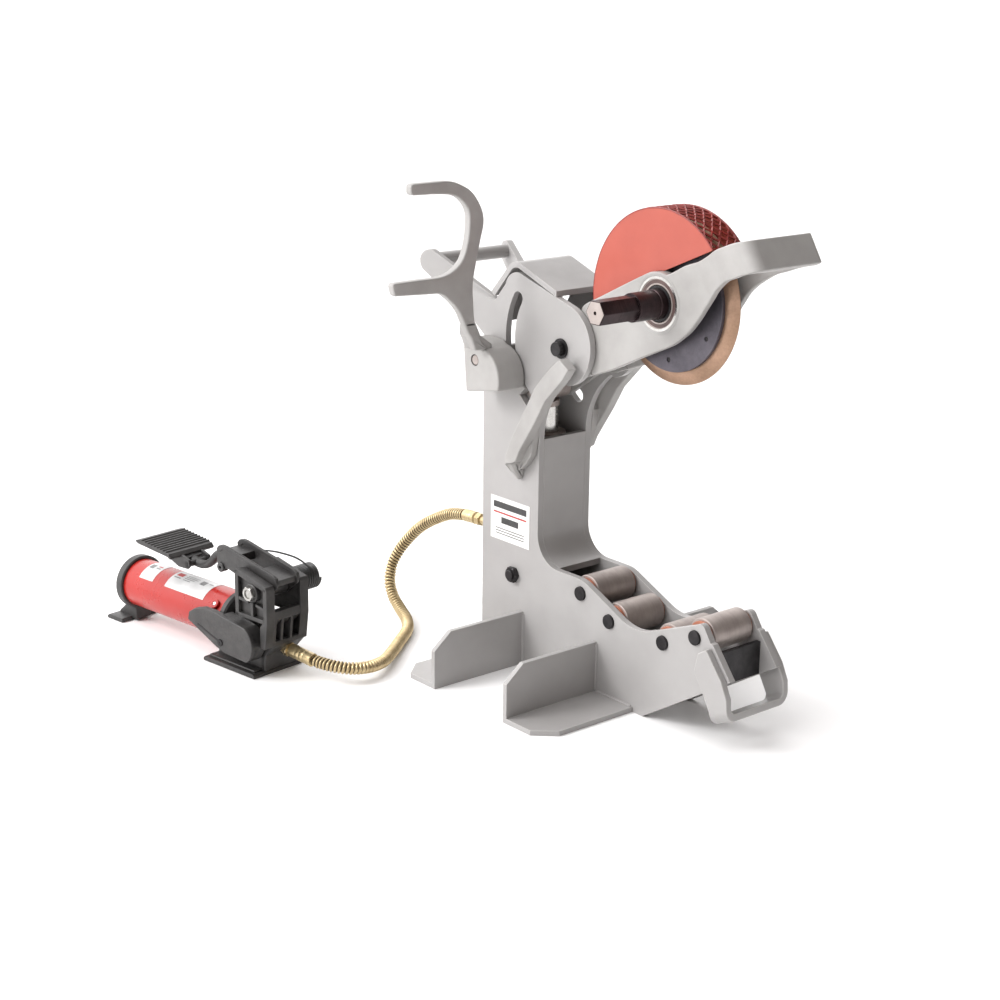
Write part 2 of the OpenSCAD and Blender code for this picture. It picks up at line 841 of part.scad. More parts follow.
function smooth_at(p, i, t) =
    let (a = p[max(i - 1, 0)], b = p[i], c = p[i + 1], e = p[min(i + 2, len(p) - 1)])
    0.5 * (2 * b + (c - a) * t + (2 * a - 5 * b + 4 * c - e) * t * t + (3 * b - a - 3 * c + e) * t * t * t);
hose_line = concat(
    [for (i = [0:len(route) - 2]) for (j = [0:route_step - 1]) smooth_at(route, i, j / route_step)],
    [route[len(route) - 1]]
);

function unit(v) = v / norm(v);
function along(p, i) = unit(p[min(i + 1, len(p) - 1)] - p[max(i - 1, 0)]);
function side_of(d) = unit(cross(d, [0, 0, 1]));

module sweep(p, r) {
    n = len(p);
    points = [for (i = [0:n - 1]) for (k = [0:hose_sides - 1])
        let (d = along(p, i), s = side_of(d), u = cross(s, d), a = 360 * k / hose_sides)
        p[i] + r * (cos(a) * s + sin(a) * u)];
    walls = [for (i = [0:n - 2]) for (k = [0:hose_sides - 1])
        let (m = (k + 1) % hose_sides)
        [i * hose_sides + k, (i + 1) * hose_sides + k, (i + 1) * hose_sides + m, i * hose_sides + m]];
    ends = [[for (k = [0:hose_sides - 1]) k],
            [for (k = [hose_sides - 1:-1:0]) (n - 1) * hose_sides + k]];
    polyhedron(points, concat(walls, ends));
}

module hose() {
    color(brass_colour) from_rear() sweep(hose_line, hose_r);
}

// Straight tube between two points
module between(a, b, r) {
    d = b - a;
    translate(a) rotate([0, acos(d[2] / norm(d)), atan2(d[1], d[0])]) cylinder(r = r, h = norm(d));
}

function pump_point(p) = [pump_x + p[0] * cos(pump_turn) - p[1] * sin(pump_turn),
                          pump_y + p[0] * sin(pump_turn) + p[1] * cos(pump_turn), p[2]];
pump_port = pump_point([76, 15, 44]);
pump_nut_end = pump_port + 12 * unit(route[len(route) - 1] - pump_port);

module hose_sleeves() {
    color(brass_colour) from_rear() {
        between(route[0], [-52, port_y, port_z], 9.5);
        between(pump_nut_end, route[len(route) - 1], 12);
    }
}

module hose_nuts() {
    color(brass_colour) from_rear() {
        hex_bar_x(port_y, port_z, 22, -52, -40);
        between(pump_port, pump_nut_end, 14);
    }
}

near_side_plate();
far_side_plate();
front_plate();
rear_plate();
bottom_plate();
end_plate();
top_cover();
rear_handle_bar();
front_handle();
near_feet();
far_feet();
near_lug();
far_lug();
label_plate();
roller_axles();
roller_1();
roller_2();
roller_3();
roller_4();
roller_bushes_1();
roller_bushes_2();
roller_bushes_3();
roller_bushes_4();
pivot_shaft();
pivot_rings();
cutter_arm();
arm_bushes();
arm_pin();
arm_roller();
shaft_bearings();
bearing_rings();
guard_sides();
guard_band();
torque_bracket();
bracket_bolt();
drive_shaft();
cutter_wheel();
wheel_flanges();
flange_screws();
ram_cylinder();
ram_gland();
cylinder_bolt();
ram_port();
ram_plunger();
ram_cap();
pump_base();
pump_tube();
filler_plug();
pump_end_ring();
pump_labels();
pump_lever();
pump_pedal();
pump_bolt();
pump_piston();
release_pedal();
pump_spring();
hose();
hose_sleeves();
hose_nuts();
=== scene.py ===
"""Looks of a hydraulic pipe cutter with a foot pump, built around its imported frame."""

import json
import math

import bmesh
import bpy
from mathutils import Matrix, Vector


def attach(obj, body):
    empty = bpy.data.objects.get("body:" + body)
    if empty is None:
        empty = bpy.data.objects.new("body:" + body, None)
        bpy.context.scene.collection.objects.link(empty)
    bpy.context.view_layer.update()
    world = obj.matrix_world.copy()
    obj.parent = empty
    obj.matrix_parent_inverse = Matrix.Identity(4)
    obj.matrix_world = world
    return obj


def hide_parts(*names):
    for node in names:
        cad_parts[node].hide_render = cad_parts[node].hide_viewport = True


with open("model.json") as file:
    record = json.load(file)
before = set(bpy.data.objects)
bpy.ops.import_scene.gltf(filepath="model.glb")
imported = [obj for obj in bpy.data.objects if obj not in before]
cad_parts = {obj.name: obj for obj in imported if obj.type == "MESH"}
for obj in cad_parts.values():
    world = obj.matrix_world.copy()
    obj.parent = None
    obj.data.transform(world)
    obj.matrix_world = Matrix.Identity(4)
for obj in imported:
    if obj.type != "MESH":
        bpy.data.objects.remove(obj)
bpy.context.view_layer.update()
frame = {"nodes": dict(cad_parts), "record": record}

MM = 0.001
REAR = -77.5  # the column's rear edge along X, in millimetres
PIVOT = (208.5, 605.6)  # the arm's pivot, X and Z from the column's rear edge
WHEEL = (423.8, 713.2)  # the drive shaft's axis
GUARD = (412.0, 710.3)  # the middle of the guard's rim
GUARD_R = 156.6
BRACKET_BOLT = (50, 566)
CYLINDER_BOLT = (91.5, 166.4)
PLATE_FACE = 61.8  # the side plates' outer faces, from the middle plane
TOLERANCE = 2e-6  # metres, for welding the CAD meshes


def at(x, y, z):
    """A point given from the column's rear edge in millimetres, in the row frame in metres."""
    return Vector(((x + REAR) * MM, y * MM, z * MM))


# ---------------------------------------------------------------- camera

camera_data = bpy.data.cameras.new("camera")
camera = bpy.data.objects.new("camera", camera_data)
bpy.context.scene.collection.objects.link(camera)
right = Vector((0.6375, 0.7704, 0.0097))
up = Vector((-0.2217, 0.1714, 0.9599))
ahead = Vector((-0.7379, 0.6141, -0.2801))
turn = Matrix((right, up, -ahead)).transposed().to_4x4()
camera.matrix_world = Matrix.Translation(at(2573.5, -2174.3, 1265.4)) @ turn
camera_data.lens = 67.716
camera_data.sensor_width = 36
camera_data.shift_x = 0.0049
camera_data.shift_y = -0.0040
bpy.context.scene.camera = camera
bpy.context.scene.view_settings.view_transform = "Standard"


# ---------------------------------------------------------------- materials

def tree_of(name):
    made = bpy.data.materials.new(name)
    made.use_nodes = True
    nodes = made.node_tree.nodes
    return made, made.node_tree, nodes["Principled BSDF"]


def noise(tree, scale, detail=3.0, stretch=(1, 1, 1), rough=0.55):
    """Noise in the piece's own coordinates; stretch is its repeat rate along X, Y and Z."""
    where = tree.nodes.new("ShaderNodeTexCoord")
    fit = tree.nodes.new("ShaderNodeMapping")
    fit.inputs["Scale"].default_value = stretch
    made = tree.nodes.new("ShaderNodeTexNoise")
    made.inputs["Scale"].default_value = scale
    made.inputs["Detail"].default_value = detail
    made.inputs["Roughness"].default_value = rough
    tree.links.new(where.outputs["Object"], fit.inputs["Vector"])
    tree.links.new(fit.outputs["Vector"], made.inputs["Vector"])
    return made.outputs["Fac"]


def remap(tree, value, low, high, new_low, new_high):
    made = tree.nodes.new("ShaderNodeMapRange")
    for key, number in (("From Min", low), ("From Max", high), ("To Min", new_low), ("To Max", new_high)):
        made.inputs[key].default_value = number
    tree.links.new(value, made.inputs["Value"])
    return made.outputs["Result"]


def mix(tree, fac, first, second, mode="MIX"):
    made = tree.nodes.new("ShaderNodeMix")
    made.data_type = "RGBA"
    made.blend_type = mode
    for key, value in ((0, fac), (6, first), (7, second)):
        if isinstance(value, (int, float)):
            made.inputs[key].default_value = value
        elif isinstance(value, tuple):
            made.inputs[key].default_value = (*value, 1)
        else:
            tree.links.new(value, made.inputs[key])
    return made.outputs[2]


def surface(name, light, dark, rough, metal=0.0, coat=0.0, clouds=14, bump=0.0, bump_scale=700,
            stretch=(1, 1, 1), streak=0.0, spread=0.07, worn=None, worn_share=0.0):
    """A procedural finish: two tones in clouds, fine streaks, worn spots, and bump in millimetres."""
    made, tree, shader = tree_of(name)
    cloud = remap(tree, noise(tree, clouds, 5), 0.35, 0.65, 0, 1)
    colour = mix(tree, cloud, light, dark)
    if streak:
        lines = noise(tree, 1.0, 4, stretch, 0.65)
        shade = remap(tree, lines, 0.3, 0.7, 1 - streak, 1 + streak * 0.4)
        colour = mix(tree, 1.0, colour, shade, "MULTIPLY")
    roughness = remap(tree, noise(tree, clouds * 5, 5), 0.3, 0.7, rough - spread, rough + spread)
    if worn:
        marks = remap(tree, noise(tree, 95, 8, (1, 1, 1), 0.7), 0.66 - worn_share, 0.7 - worn_share, 0, 1)
        colour = mix(tree, marks, colour, worn)
    tree.links.new(colour, shader.inputs["Base Color"])
    tree.links.new(roughness, shader.inputs["Roughness"])
    shader.inputs["Metallic"].default_value = metal
    shader.inputs["Coat Weight"].default_value = coat
    shader.inputs["Coat Roughness"].default_value = 0.12
    if bump:
        relief = tree.nodes.new("ShaderNodeBump")
        relief.inputs["Strength"].default_value = 0.35
        relief.inputs["Distance"].default_value = bump * MM
        pattern = noise(tree, bump_scale, 3, stretch if streak else (1, 1, 1))
        tree.links.new(pattern, relief.inputs["Height"])
        tree.links.new(relief.outputs["Normal"], shader.inputs["Normal"])
    return made


PAINT = surface("grey_paint", (0.36, 0.35, 0.345), (0.325, 0.315, 0.31), 0.42, coat=0.08, clouds=9,
                bump=0.10, bump_scale=520)
# The edge paint is lighter than the main paint: a painted highlight along the rounded edges. Its darker spots
# are wear.
PAINT_EDGE_HIGHLIGHT_AND_WEAR = surface("grey_paint_edge_highlight_and_wear", (0.43, 0.42, 0.41), (0.37, 0.36, 0.35), 0.36, coat=0.08, clouds=30,
                     worn=(0.26, 0.25, 0.24), worn_share=0.02, bump=0.08)
CAST_PAINT = surface("grey_cast_paint", (0.36, 0.35, 0.34), (0.31, 0.30, 0.29), 0.44, clouds=16,
                     bump=0.35, bump_scale=210)
DARK_STEEL = surface("black_oxide", (0.035, 0.032, 0.034), (0.018, 0.017, 0.018), 0.38, metal=0.6, clouds=60,
                     bump=0.05)
SHAFT_STEEL = surface("shaft_steel", (0.050, 0.030, 0.033), (0.026, 0.016, 0.018), 0.36, metal=0.75,
                      clouds=35, stretch=(4, 500, 4), streak=0.35, bump=0.03)
ROLLER_STEEL = surface("roller_steel", (0.44, 0.385, 0.36), (0.33, 0.285, 0.265), 0.46, metal=0.5, clouds=25,
                       stretch=(3, 420, 3), streak=0.12, bump=0.02)
BRIGHT = surface("ground_steel", (0.66, 0.65, 0.63), (0.55, 0.54, 0.52), 0.24, metal=1.0, clouds=40,
                 stretch=(300, 300, 300), streak=0.12, spread=0.05, bump=0.02)
ZINC = surface("zinc_plate", (0.46, 0.45, 0.43), (0.34, 0.33, 0.31), 0.34, metal=0.9, clouds=60, bump=0.04)
BRONZE = surface("bushing_bronze", (0.56, 0.24, 0.16), (0.42, 0.16, 0.10), 0.38, metal=0.7, clouds=50,
                 bump=0.04)
SLATE = surface("flange_steel", (0.115, 0.105, 0.125), (0.075, 0.068, 0.082), 0.42, metal=0.55, clouds=18,
                stretch=(120, 2, 120), streak=0.15, bump=0.05)
TAN = surface("wheel_steel", (0.40, 0.25, 0.17), (0.30, 0.185, 0.12), 0.40, metal=0.55, clouds=20,
              stretch=(240, 240, 240), streak=0.15, bump=0.04)
CORAL = surface("guard_paint", (0.42, 0.082, 0.054), (0.37, 0.068, 0.045), 0.40, coat=0.15, clouds=10,
                bump=0.08, bump_scale=400)
MESH_RED = surface("guard_mesh_paint", (0.28, 0.026, 0.020), (0.16, 0.015, 0.012), 0.45, coat=0.1, clouds=60,
                   bump=0.1)
SEAL = surface("bearing_seal", (0.11, 0.065, 0.058), (0.075, 0.045, 0.042), 0.45, clouds=60, bump=0.05)
WHITE = surface("label_film", (0.80, 0.80, 0.78), (0.74, 0.74, 0.72), 0.38, coat=0.1, clouds=40, bump=0.02)
INK = surface("label_ink", (0.035, 0.035, 0.035), (0.05, 0.05, 0.05), 0.5, clouds=80, bump=0.02)
GREY_INK = surface("label_grey", (0.16, 0.16, 0.16), (0.22, 0.22, 0.22), 0.5, clouds=80, bump=0.02)
RED_INK = surface("label_red", (0.45, 0.03, 0.03), (0.38, 0.025, 0.025), 0.5, clouds=80, bump=0.02)
CAST_BLACK = surface("pump_casting", (0.040, 0.038, 0.037), (0.022, 0.021, 0.021), 0.46, clouds=40,
                     bump=0.5, bump_scale=330)
SPRING_BLACK = surface("spring_black", (0.05, 0.05, 0.05), (0.028, 0.028, 0.028), 0.36, metal=0.3, clouds=60,
                       bump=0.05)
GLOSS_RED = surface("tank_red", (0.40, 0.012, 0.007), (0.34, 0.010, 0.006), 0.30, coat=0.1, clouds=6,
                    bump=0.05, bump_scale=160)
BRASS = surface("brass", (0.62, 0.50, 0.29), (0.48, 0.37, 0.20), 0.32, metal=0.8, clouds=45, bump=0.04)
GUARD_BRASS = surface("hose_guard_brass", (0.60, 0.48, 0.28), (0.46, 0.35, 0.19), 0.34, metal=0.75, clouds=70,
                      bump=0.03)
# Darkened brass for the groove between the coil's turns: painted shade.
HOSE_GROOVE_SHADE = surface("hose_guard_groove_shade", (0.085, 0.062, 0.034), (0.05, 0.036, 0.02), 0.6, clouds=70,
                      bump=0.03)
PALE_LABEL = surface("pump_label_film", (0.60, 0.60, 0.60), (0.52, 0.52, 0.52), 0.34, coat=0.2, clouds=40,
                     bump=0.02)


# ---------------------------------------------------------------- mesh tools

def body_of_node(node):
    for name, nodes in frame["record"]["behaviour"]["bodies"].items():
        if node in nodes:
            return name
    return None


def finish_piece(bm, name, mats, node, hides=True, smooth=35):
    """Turns a bmesh in the row frame into a piece that rides with the node's body."""
    mesh = bpy.data.meshes.new(name)
    limit = math.radians(smooth)
    bm.normal_update()
    for face in bm.faces:
        face.smooth = True
    for edge in bm.edges:
        edge.smooth = len(edge.link_faces) != 2 or edge.calc_face_angle(0) < limit
    bm.to_mesh(mesh)
    bm.free()
    for one in mats:
        mesh.materials.append(one)
    made = bpy.data.objects.new(name, mesh)
    bpy.context.scene.collection.objects.link(made)
    weigh = made.modifiers.new("even_normals", "WEIGHTED_NORMAL")
    weigh.keep_sharp = True
    weigh.weight = 60
    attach(made, body_of_node(node))
    if hides:
        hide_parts(node)
    return made


def cad_bmesh(node):
    """The CAD node's mesh, welded and with its flat faces merged."""
    bm = bmesh.new()
    bm.from_mesh(frame["nodes"][node].data)
    bm.transform(frame["nodes"][node].matrix_world)
    bmesh.ops.remove_doubles(bm, verts=bm.verts, dist=TOLERANCE)
    bmesh.ops.dissolve_limit(bm, angle_limit=math.radians(0.4), verts=bm.verts, edges=bm.edges)
    bmesh.ops.dissolve_degenerate(bm, edges=bm.edges, dist=TOLERANCE)
    return bm


def bevelled(bm, width, segments=2, angle=32, material=0):
    """Rounds the edges that turn by more than the angle, in degrees."""
    sharp = [e for e in bm.edges if len(e.link_faces) == 2 and e.calc_face_angle(0) > math.radians(angle)]
    bmesh.ops.bevel(bm, geom=sharp, offset=width * MM, offset_type="OFFSET", segments=segments, profile=0.5,
                    affect="EDGES", clamp_overlap=False, material=material)
    return bm


def refined(node, main, edge, width, segments=2):
    """The CAD node with its edges rounded; the rounded faces take the edge finish."""
    bm = bevelled(cad_bmesh(node), width, segments, material=1)
    return finish_piece(bm, node + "_finish", [main, edge], node)


def join_into(bm, other):
    """Adds a second bmesh to the first."""
    mesh = bpy.data.meshes.new("part")
    other.to_mesh(mesh)
    other.free()
    bm.from_mesh(mesh)
    bpy.data.meshes.remove(mesh)


def prism(outline, y0, y1, place=at, width=0.0, segments=2, material=0):
    """An XZ outline in millimetres, extruded along Y from y0 to y1."""
    bm = bmesh.new()
    low = [bm.verts.new(place(x, y0, z)) for x, z in outline]
    high = [bm.verts.new(place(x, y1, z)) for x, z in outline]
    bm.faces.new(low)
    bm.faces.new(list(reversed(high)))
    n = len(outline)
    for i in range(n):
        j = (i + 1) % n
        bm.faces.new((low[j], low[i], high[i], high[j]))
    bmesh.ops.recalc_face_normals(bm, faces=bm.faces)
    for face in bm.faces:
        face.material_index = material
    if width:
        bevelled(bm, width, segments, material=material)
    return bm


def lathe(profile, centre, axis=(0, 1, 0), steps=96, material=0):
    """Turns a closed outline of (along, radius) points in millimetres about the axis through centre."""
    bm = bmesh.new()
    axis = Vector(axis).normalized()
    side = axis.orthogonal().normalized()
    over = axis.cross(side)
    rings = []
    for along, radius in profile:
        ring = []
        for k in range(steps):
            a = 2 * math.pi * k / steps
            spoke = side * math.cos(a) + over * math.sin(a)
            ring.append(bm.verts.new(centre + axis * (along * MM) + spoke * (radius * MM)))
        rings.append(ring)
    for low, high in zip(rings, rings[1:] + rings[:1]):
        for k in range(steps):
            m = (k + 1) % steps
            bm.faces.new((low[k], low[m], high[m], high[k])).material_index = material
    bmesh.ops.recalc_face_normals(bm, faces=bm.faces)
    return bm


def arc(x, z, r, start, end, count=12):
    """Points of an arc about (x, z), from angle start to angle end in degrees."""
    angles = [math.radians(start + (end - start) * i / count) for i in range(count + 1)]
    return [(x + r * math.cos(a), z + r * math.sin(a)) for a in angles]


# ---------------------------------------------------------------- hose

HOSE_POINTS = [
    (-90, -30, 230), (-135, -30, 221), (-180, -32, 201), (-219, -37, 177), (-250, -44, 147),
    (-269, -55, 117), (-275, -68, 87), (-264, -81, 59), (-243, -88, 36), (-211, -95, 21),
    (-170, -110, 13), (-127, -142, 12), (-83, -194, 13), (-40, -244, 16), (-4, -290, 21),
    (12, -332, 26), (6, -368, 30), (-18, -394, 34), (-52, -408, 37),
]


def smooth_line(points, steps):
    """Catmull-Rom curve through the points."""
    line = []
    last = len(points) - 1
    for i in range(last):
        a, b, c, d = (points[max(i - 1, 0)], points[i], points[i + 1], points[min(i + 2, last)])
        for j in range(steps):
            t = j / steps
            line.append(0.5 * (2 * b + (c - a) * t + (2 * a - 5 * b + 4 * c - d) * t * t
                               + (3 * b - a - 3 * c + d) * t * t * t))
    line.append(points[last])
    return line


def even_line(line, step):
    """The same line with points a fixed step apart."""
    lengths = [0.0]
    for a, b in zip(line, line[1:]):
        lengths.append(lengths[-1] + (b - a).length)
    count = max(2, round(lengths[-1] / step))
    out, k = [], 0
    for i in range(count + 1):
        s = lengths[-1] * i / count
        while k < len(line) - 2 and lengths[k + 1] < s:
            k += 1
        out.append(line[k].lerp(line[k + 1], (s - lengths[k]) / max(lengths[k + 1] - lengths[k], 1e-9)))
    return out, lengths[-1]


def tube_bmesh(line, radius_at, sides, bm=None):
    """A tube with closed ends along the line; radius_at(distance, angle) gives its surface."""
    bm = bm or bmesh.new()
    side = None
    rings = []
    travelled = 0.0
    for i, here in enumerate(line):
        tangent = (line[min(i + 1, len(line) - 1)] - line[max(i - 1, 0)]).normalized()
        if side is None:
            side = tangent.cross(Vector((0, 0, 1)))
            if side.length < 1e-3:
                side = tangent.cross(Vector((1, 0, 0)))
        side = (side - tangent * side.dot(tangent)).normalized()
        over = side.cross(tangent)
        if i:
            travelled += (here - line[i - 1]).length
        ring = []
        for k in range(sides):
            a = 2 * math.pi * k / sides
            r = radius_at(travelled, a)
            ring.append(bm.verts.new(here + side * (r * math.cos(a)) + over * (r * math.sin(a))))
        rings.append(ring)
    for low, high in zip(rings, rings[1:]):
        for k in range(sides):
            m = (k + 1) % sides
            bm.faces.new((low[k], low[m], high[m], high[k]))
    bm.faces.new(list(reversed(rings[0])))
    bm.faces.new(rings[-1])
    bmesh.ops.recalc_face_normals(bm, faces=bm.faces)
    return bm


hose_points = [at(*p) for p in HOSE_POINTS]
COIL_PITCH = 6.8 * MM
COIL_RADII = (8.7, 10.3, 11.1, 11.45, 11.45, 11.1, 10.3, 8.7)  # across one turn, groove to groove
hose_line, hose_length = even_line(smooth_line(hose_points, 12), COIL_PITCH / len(COIL_RADII))


def coil_tube(line, length, around=24):
    """The spring guard: a round ridge that winds along the hose; the groove between its turns is coloured
    dark as painted shade.
    """
    sides = []
    side = (line[1] - line[0]).cross(Vector((0, 0, 1)))
    for i in range(len(line)):
        tangent = (line[min(i + 1, len(line) - 1)] - line[max(i - 1, 0)]).normalized()
        side = (side - tangent * side.dot(tangent)).normalized()
        sides.append((side.copy(), side.cross(tangent)))
    per = len(COIL_RADII)
    rows = int(per * (length / COIL_PITCH - 1)) - 1
    bm = bmesh.new()

    def place(i, j):
        spot = min(len(line) - 1.001, (i / per + j / around) * COIL_PITCH / length * (len(line) - 1))
        k = int(spot)
        part = spot - k
        middle = line[k].lerp(line[k + 1], part)
        first, second = (sides[k][n].lerp(sides[k + 1][n], part) for n in (0, 1))
        a = 2 * math.pi * j / around
        r = COIL_RADII[i % per] * MM
        return bm.verts.new(middle + first * (r * math.cos(a)) + second * (r * math.sin(a)))

    grid = {}
    for i in range(rows + per + 1):
        for j in range(around):
            if i <= rows or j == 0:
                grid[i, j] = place(i, j)
    for i in range(rows + 1):
        grid[i, around] = grid[i + per, 0]
    for i in range(rows):
        for j in range(around):
            face = bm.faces.new((grid[i, j], grid[i, j + 1], grid[i + 1, j + 1], grid[i + 1, j]))
            # the groove rows take the painted shade
            face.material_index = 1 if i % per in (0, per - 1) else 0
    for start, centre in ((0, line[0]), (rows, line[-1])):
        hub = bm.verts.new(centre)
        ring = [grid[start, j] for j in range(around + 1)]
        ring += [grid[start + k, 0] for k in range(per - 1, -1, -1)]
        for a, b in zip(ring, ring[1:]):
            bm.faces.new((a, b, hub))
    bmesh.ops.recalc_face_normals(bm, faces=bm.faces)
    return bm


hose = finish_piece(coil_tube(hose_line, hose_length), "hose_guard", [GUARD_BRASS, HOSE_GROOVE_SHADE], "hose",
                    smooth=80)

# ---------------------------------------------------------------- pieces

for node in ("near_side_plate", "far_side_plate", "front_plate", "rear_plate", "bottom_plate", "top_cover",
             "near_feet", "far_feet", "rear_handle_bar"):
    refined(node, PAINT, PAINT_EDGE_HIGHLIGHT_AND_WEAR, 0.9)
for node in ("near_lug", "far_lug"):
    refined(node, CAST_PAINT, CAST_PAINT, 2.2, 3)
refined("front_handle", PAINT, PAINT_EDGE_HIGHLIGHT_AND_WEAR, 2.0, 3)
refined("guard_sides", CORAL, CORAL, 0.5)
refined("drive_shaft", SHAFT_STEEL, SHAFT_STEEL, 1.2)
refined("cutter_wheel", TAN, TAN, 0.2)
refined("wheel_flanges", SLATE, SLATE, 1.0)
for k in range(1, 5):
    refined("roller_%d" % k, ROLLER_STEEL, ROLLER_STEEL, 2.0, 3)
    refined("roller_bushes_%d" % k, BRONZE, BRONZE, 0.6)
refined("roller_axles", DARK_STEEL, DARK_STEEL, 1.0)
refined("pump_tube", GLOSS_RED, GLOSS_RED, 1.0)
# The end plate's black oxide is painted shade: the plate sits in shade under the last roller, and the dark
# colour stands for that shade.
refined("end_plate", DARK_STEEL, DARK_STEEL, 0.9)
refined("pivot_shaft", DARK_STEEL, DARK_STEEL, 1.0)
refined("pivot_rings", DARK_STEEL, DARK_STEEL, 0.4)
refined("ram_cylinder", CAST_BLACK, CAST_BLACK, 0.8)
for node in ("arm_roller", "ram_gland", "ram_cap"):
    refined(node, ROLLER_STEEL, ROLLER_STEEL, 0.8)
refined("ram_plunger", BRIGHT, BRIGHT, 0.8)

# ---------------------------------------------------------------- foot pump

PUMP_TURN = math.radians(8)
PUMP_X, PUMP_Y = -195, -445
TUBE_Z, TUBE_R = 78, 46
LEVER_X, LEVER_Z = 60, 160


def pump(x, y, z):
    """A point in the pump's own millimetres, in the row frame."""
    c, s = math.cos(PUMP_TURN), math.sin(PUMP_TURN)
    return at(PUMP_X + x * c - y * s, PUMP_Y + x * s + y * c, z)


def pump_dir(x, y, z):
    return (pump(x, y, z) - pump(0, 0, 0)).normalized()


def block(x0, x1, y0, y1, z0, z1, width=1.5):
    return prism([(x0, z0), (x1, z0), (x1, z1), (x0, z1)], y0, y1, pump, width)


def joined(parts):
    bm = bmesh.new()
    for part in parts:
        join_into(bm, part)
    return bm


def pump_casting():
    parts = [
        prism([(-72, 0), (70, 0), (70, 6), (66, 9), (-68, 9), (-72, 6)], -58, 58, pump, 1.5),
        block(-64, 62, -50, 50, 8, 13, 2.5),
        prism([(-60, 7), (70, 7), (73, 40), (70, 62), (-60, 62)], -32, 44, pump, 3.5, 3),
        block(-46, 44, -22, 36, 58, 100, 3.5),
        lathe([(-36, 46.1), (-36, 49.5), (-34.5, 51), (-25, 51), (-22, 48), (-22, 20), (-26.9, 20),
               (-26.9, 46.1)], pump(0, 0, TUBE_Z), pump_dir(1, 0, 0), 72),
        prism([(60, 8), (70, 8), (74, 40), (94, 61), (94, 70), (60, 70)], -32, 44, pump, 2),
        prism([(84, 96), (99, 112), (99, 128), (84, 128)], -31, 31, pump, 1.5),
        lathe([(66, 3), (66, 14), (74, 14), (76, 12.5), (76, 3)], pump(0, 15, 44), pump_dir(1, 0, 0), 40),
    ]
    for y in (-31, -14, 8, 30):
        parts.append(prism([(70, 60), (93, 60), (99, 114), (60, 114)], y, y + 6, pump, 1.2))
    for y0, y1, out in ((-50, -30, -1), (30, 50, 1)):
        web = (y0 + 8, y1) if out < 0 else (y0, y1 - 8)
        parts += [
            prism([(16, 110), (16, 192), (20, 194), (97, 176), (98, 114), (82, 110)], *web, pump, 0.8),
            prism([(14, 108), (24, 108), (24, 193), (20, 196), (14, 194)], y0, y1, pump, 1.5),
            prism([(14, 184), (18, 186), (98, 168), (100, 172), (98, 178), (20, 196), (14, 194)],
                  y0, y1, pump, 1.5),
            prism([(90, 112), (80, 100), (80, 60), (93, 60), (100, 112), (100, 174), (90, 176)],
                  y0, y1, pump, 1.5),
            prism([(14, 108), (90, 108), (90, 116), (14, 116)], y0, y1, pump, 1.2),
            prism([(24, 140), (50, 138), (50, 144), (24, 146)], y0, y1, pump, 1.0),
            prism([(70, 136), (92, 132), (92, 138), (70, 142)], y0, y1, pump, 1.0),
            prism([(56, 114), (63, 114), (63, 142), (56, 142)], y0, y1, pump, 1.0),
            lathe([(30, 8.5), (30, 17), (51, 17), (52.5, 15.5), (52.5, 8.5)],
                  pump(LEVER_X, 0, LEVER_Z), pump_dir(0, out, 0), 48),
        ]
    return joined(parts)


def strip(points, half_wide, half_thick):
    """A smooth bar of oval section along points."""
    line = even_line(smooth_line(points, 10), 2 * MM)[0]

    def radius(distance, angle):
        return (half_wide * abs(math.cos(angle)) ** 2 + half_thick * abs(math.sin(angle)) ** 2) * MM

    return tube_bmesh(line, radius, 20)


def pump_lever():
    half, thick = 28, 7
    outline = [(-56, 178), (-62, 184), (-62, 210), (-56, 218), (-46, 221), (-34, 220), (90, 195)]
    outline += arc(LEVER_X + 28, 180, 15, 75, -70, 8)
    outline += arc(LEVER_X, LEVER_Z, 17, -45, -135, 8) + [(20, 166), (-30, 178)]
    rim = [(-54, 206), (-44, 213), (-34, 212), (88, 187), (97, 184), (103, 180), (100, 190), (90, 195),
           (-34, 220), (-46, 221), (-56, 218), (-62, 210)]
    neck = [(-54, 198), (-74, 196), (-92, 186), (-108, 170), (-124, 160), (-142, 157), (-160, 160),
            (-176, 168)]
    across = pump_dir(0, 1, 0)
    parts = []
    for y in (-half, half - thick):
        parts.append(prism(outline, y + 1.5, y + thick - 1.5, pump, 0.8))
        parts.append(prism(rim, y, y + thick, pump, 1.2))
    parts += [
        prism([(-58, 186), (-58, 208), (-14, 206), (-14, 190)], -half + 2, half - 2, pump, 2),
        prism([(40, 168), (96, 172), (98, 184), (40, 192)], -half + 3, half - 3, pump, 2),
        lathe([(-27.5, 8.3), (-27.5, 16), (27.5, 16), (27.5, 8.3)], pump(LEVER_X, 0, LEVER_Z), across, 40),
        lathe([(-28, 0.5), (-28, 7), (28, 7), (28, 0.5)], pump(20, 0, 174), across, 32),
        lathe([(-30, 3), (-30, 8), (-29, 9), (-17, 9), (-16, 8), (-16, 3)], pump(-50, 0, 178), across, 32),
        strip([pump(x, 0, z) for x, z in neck], 10, 7.5),
    ]
    return joined(parts)


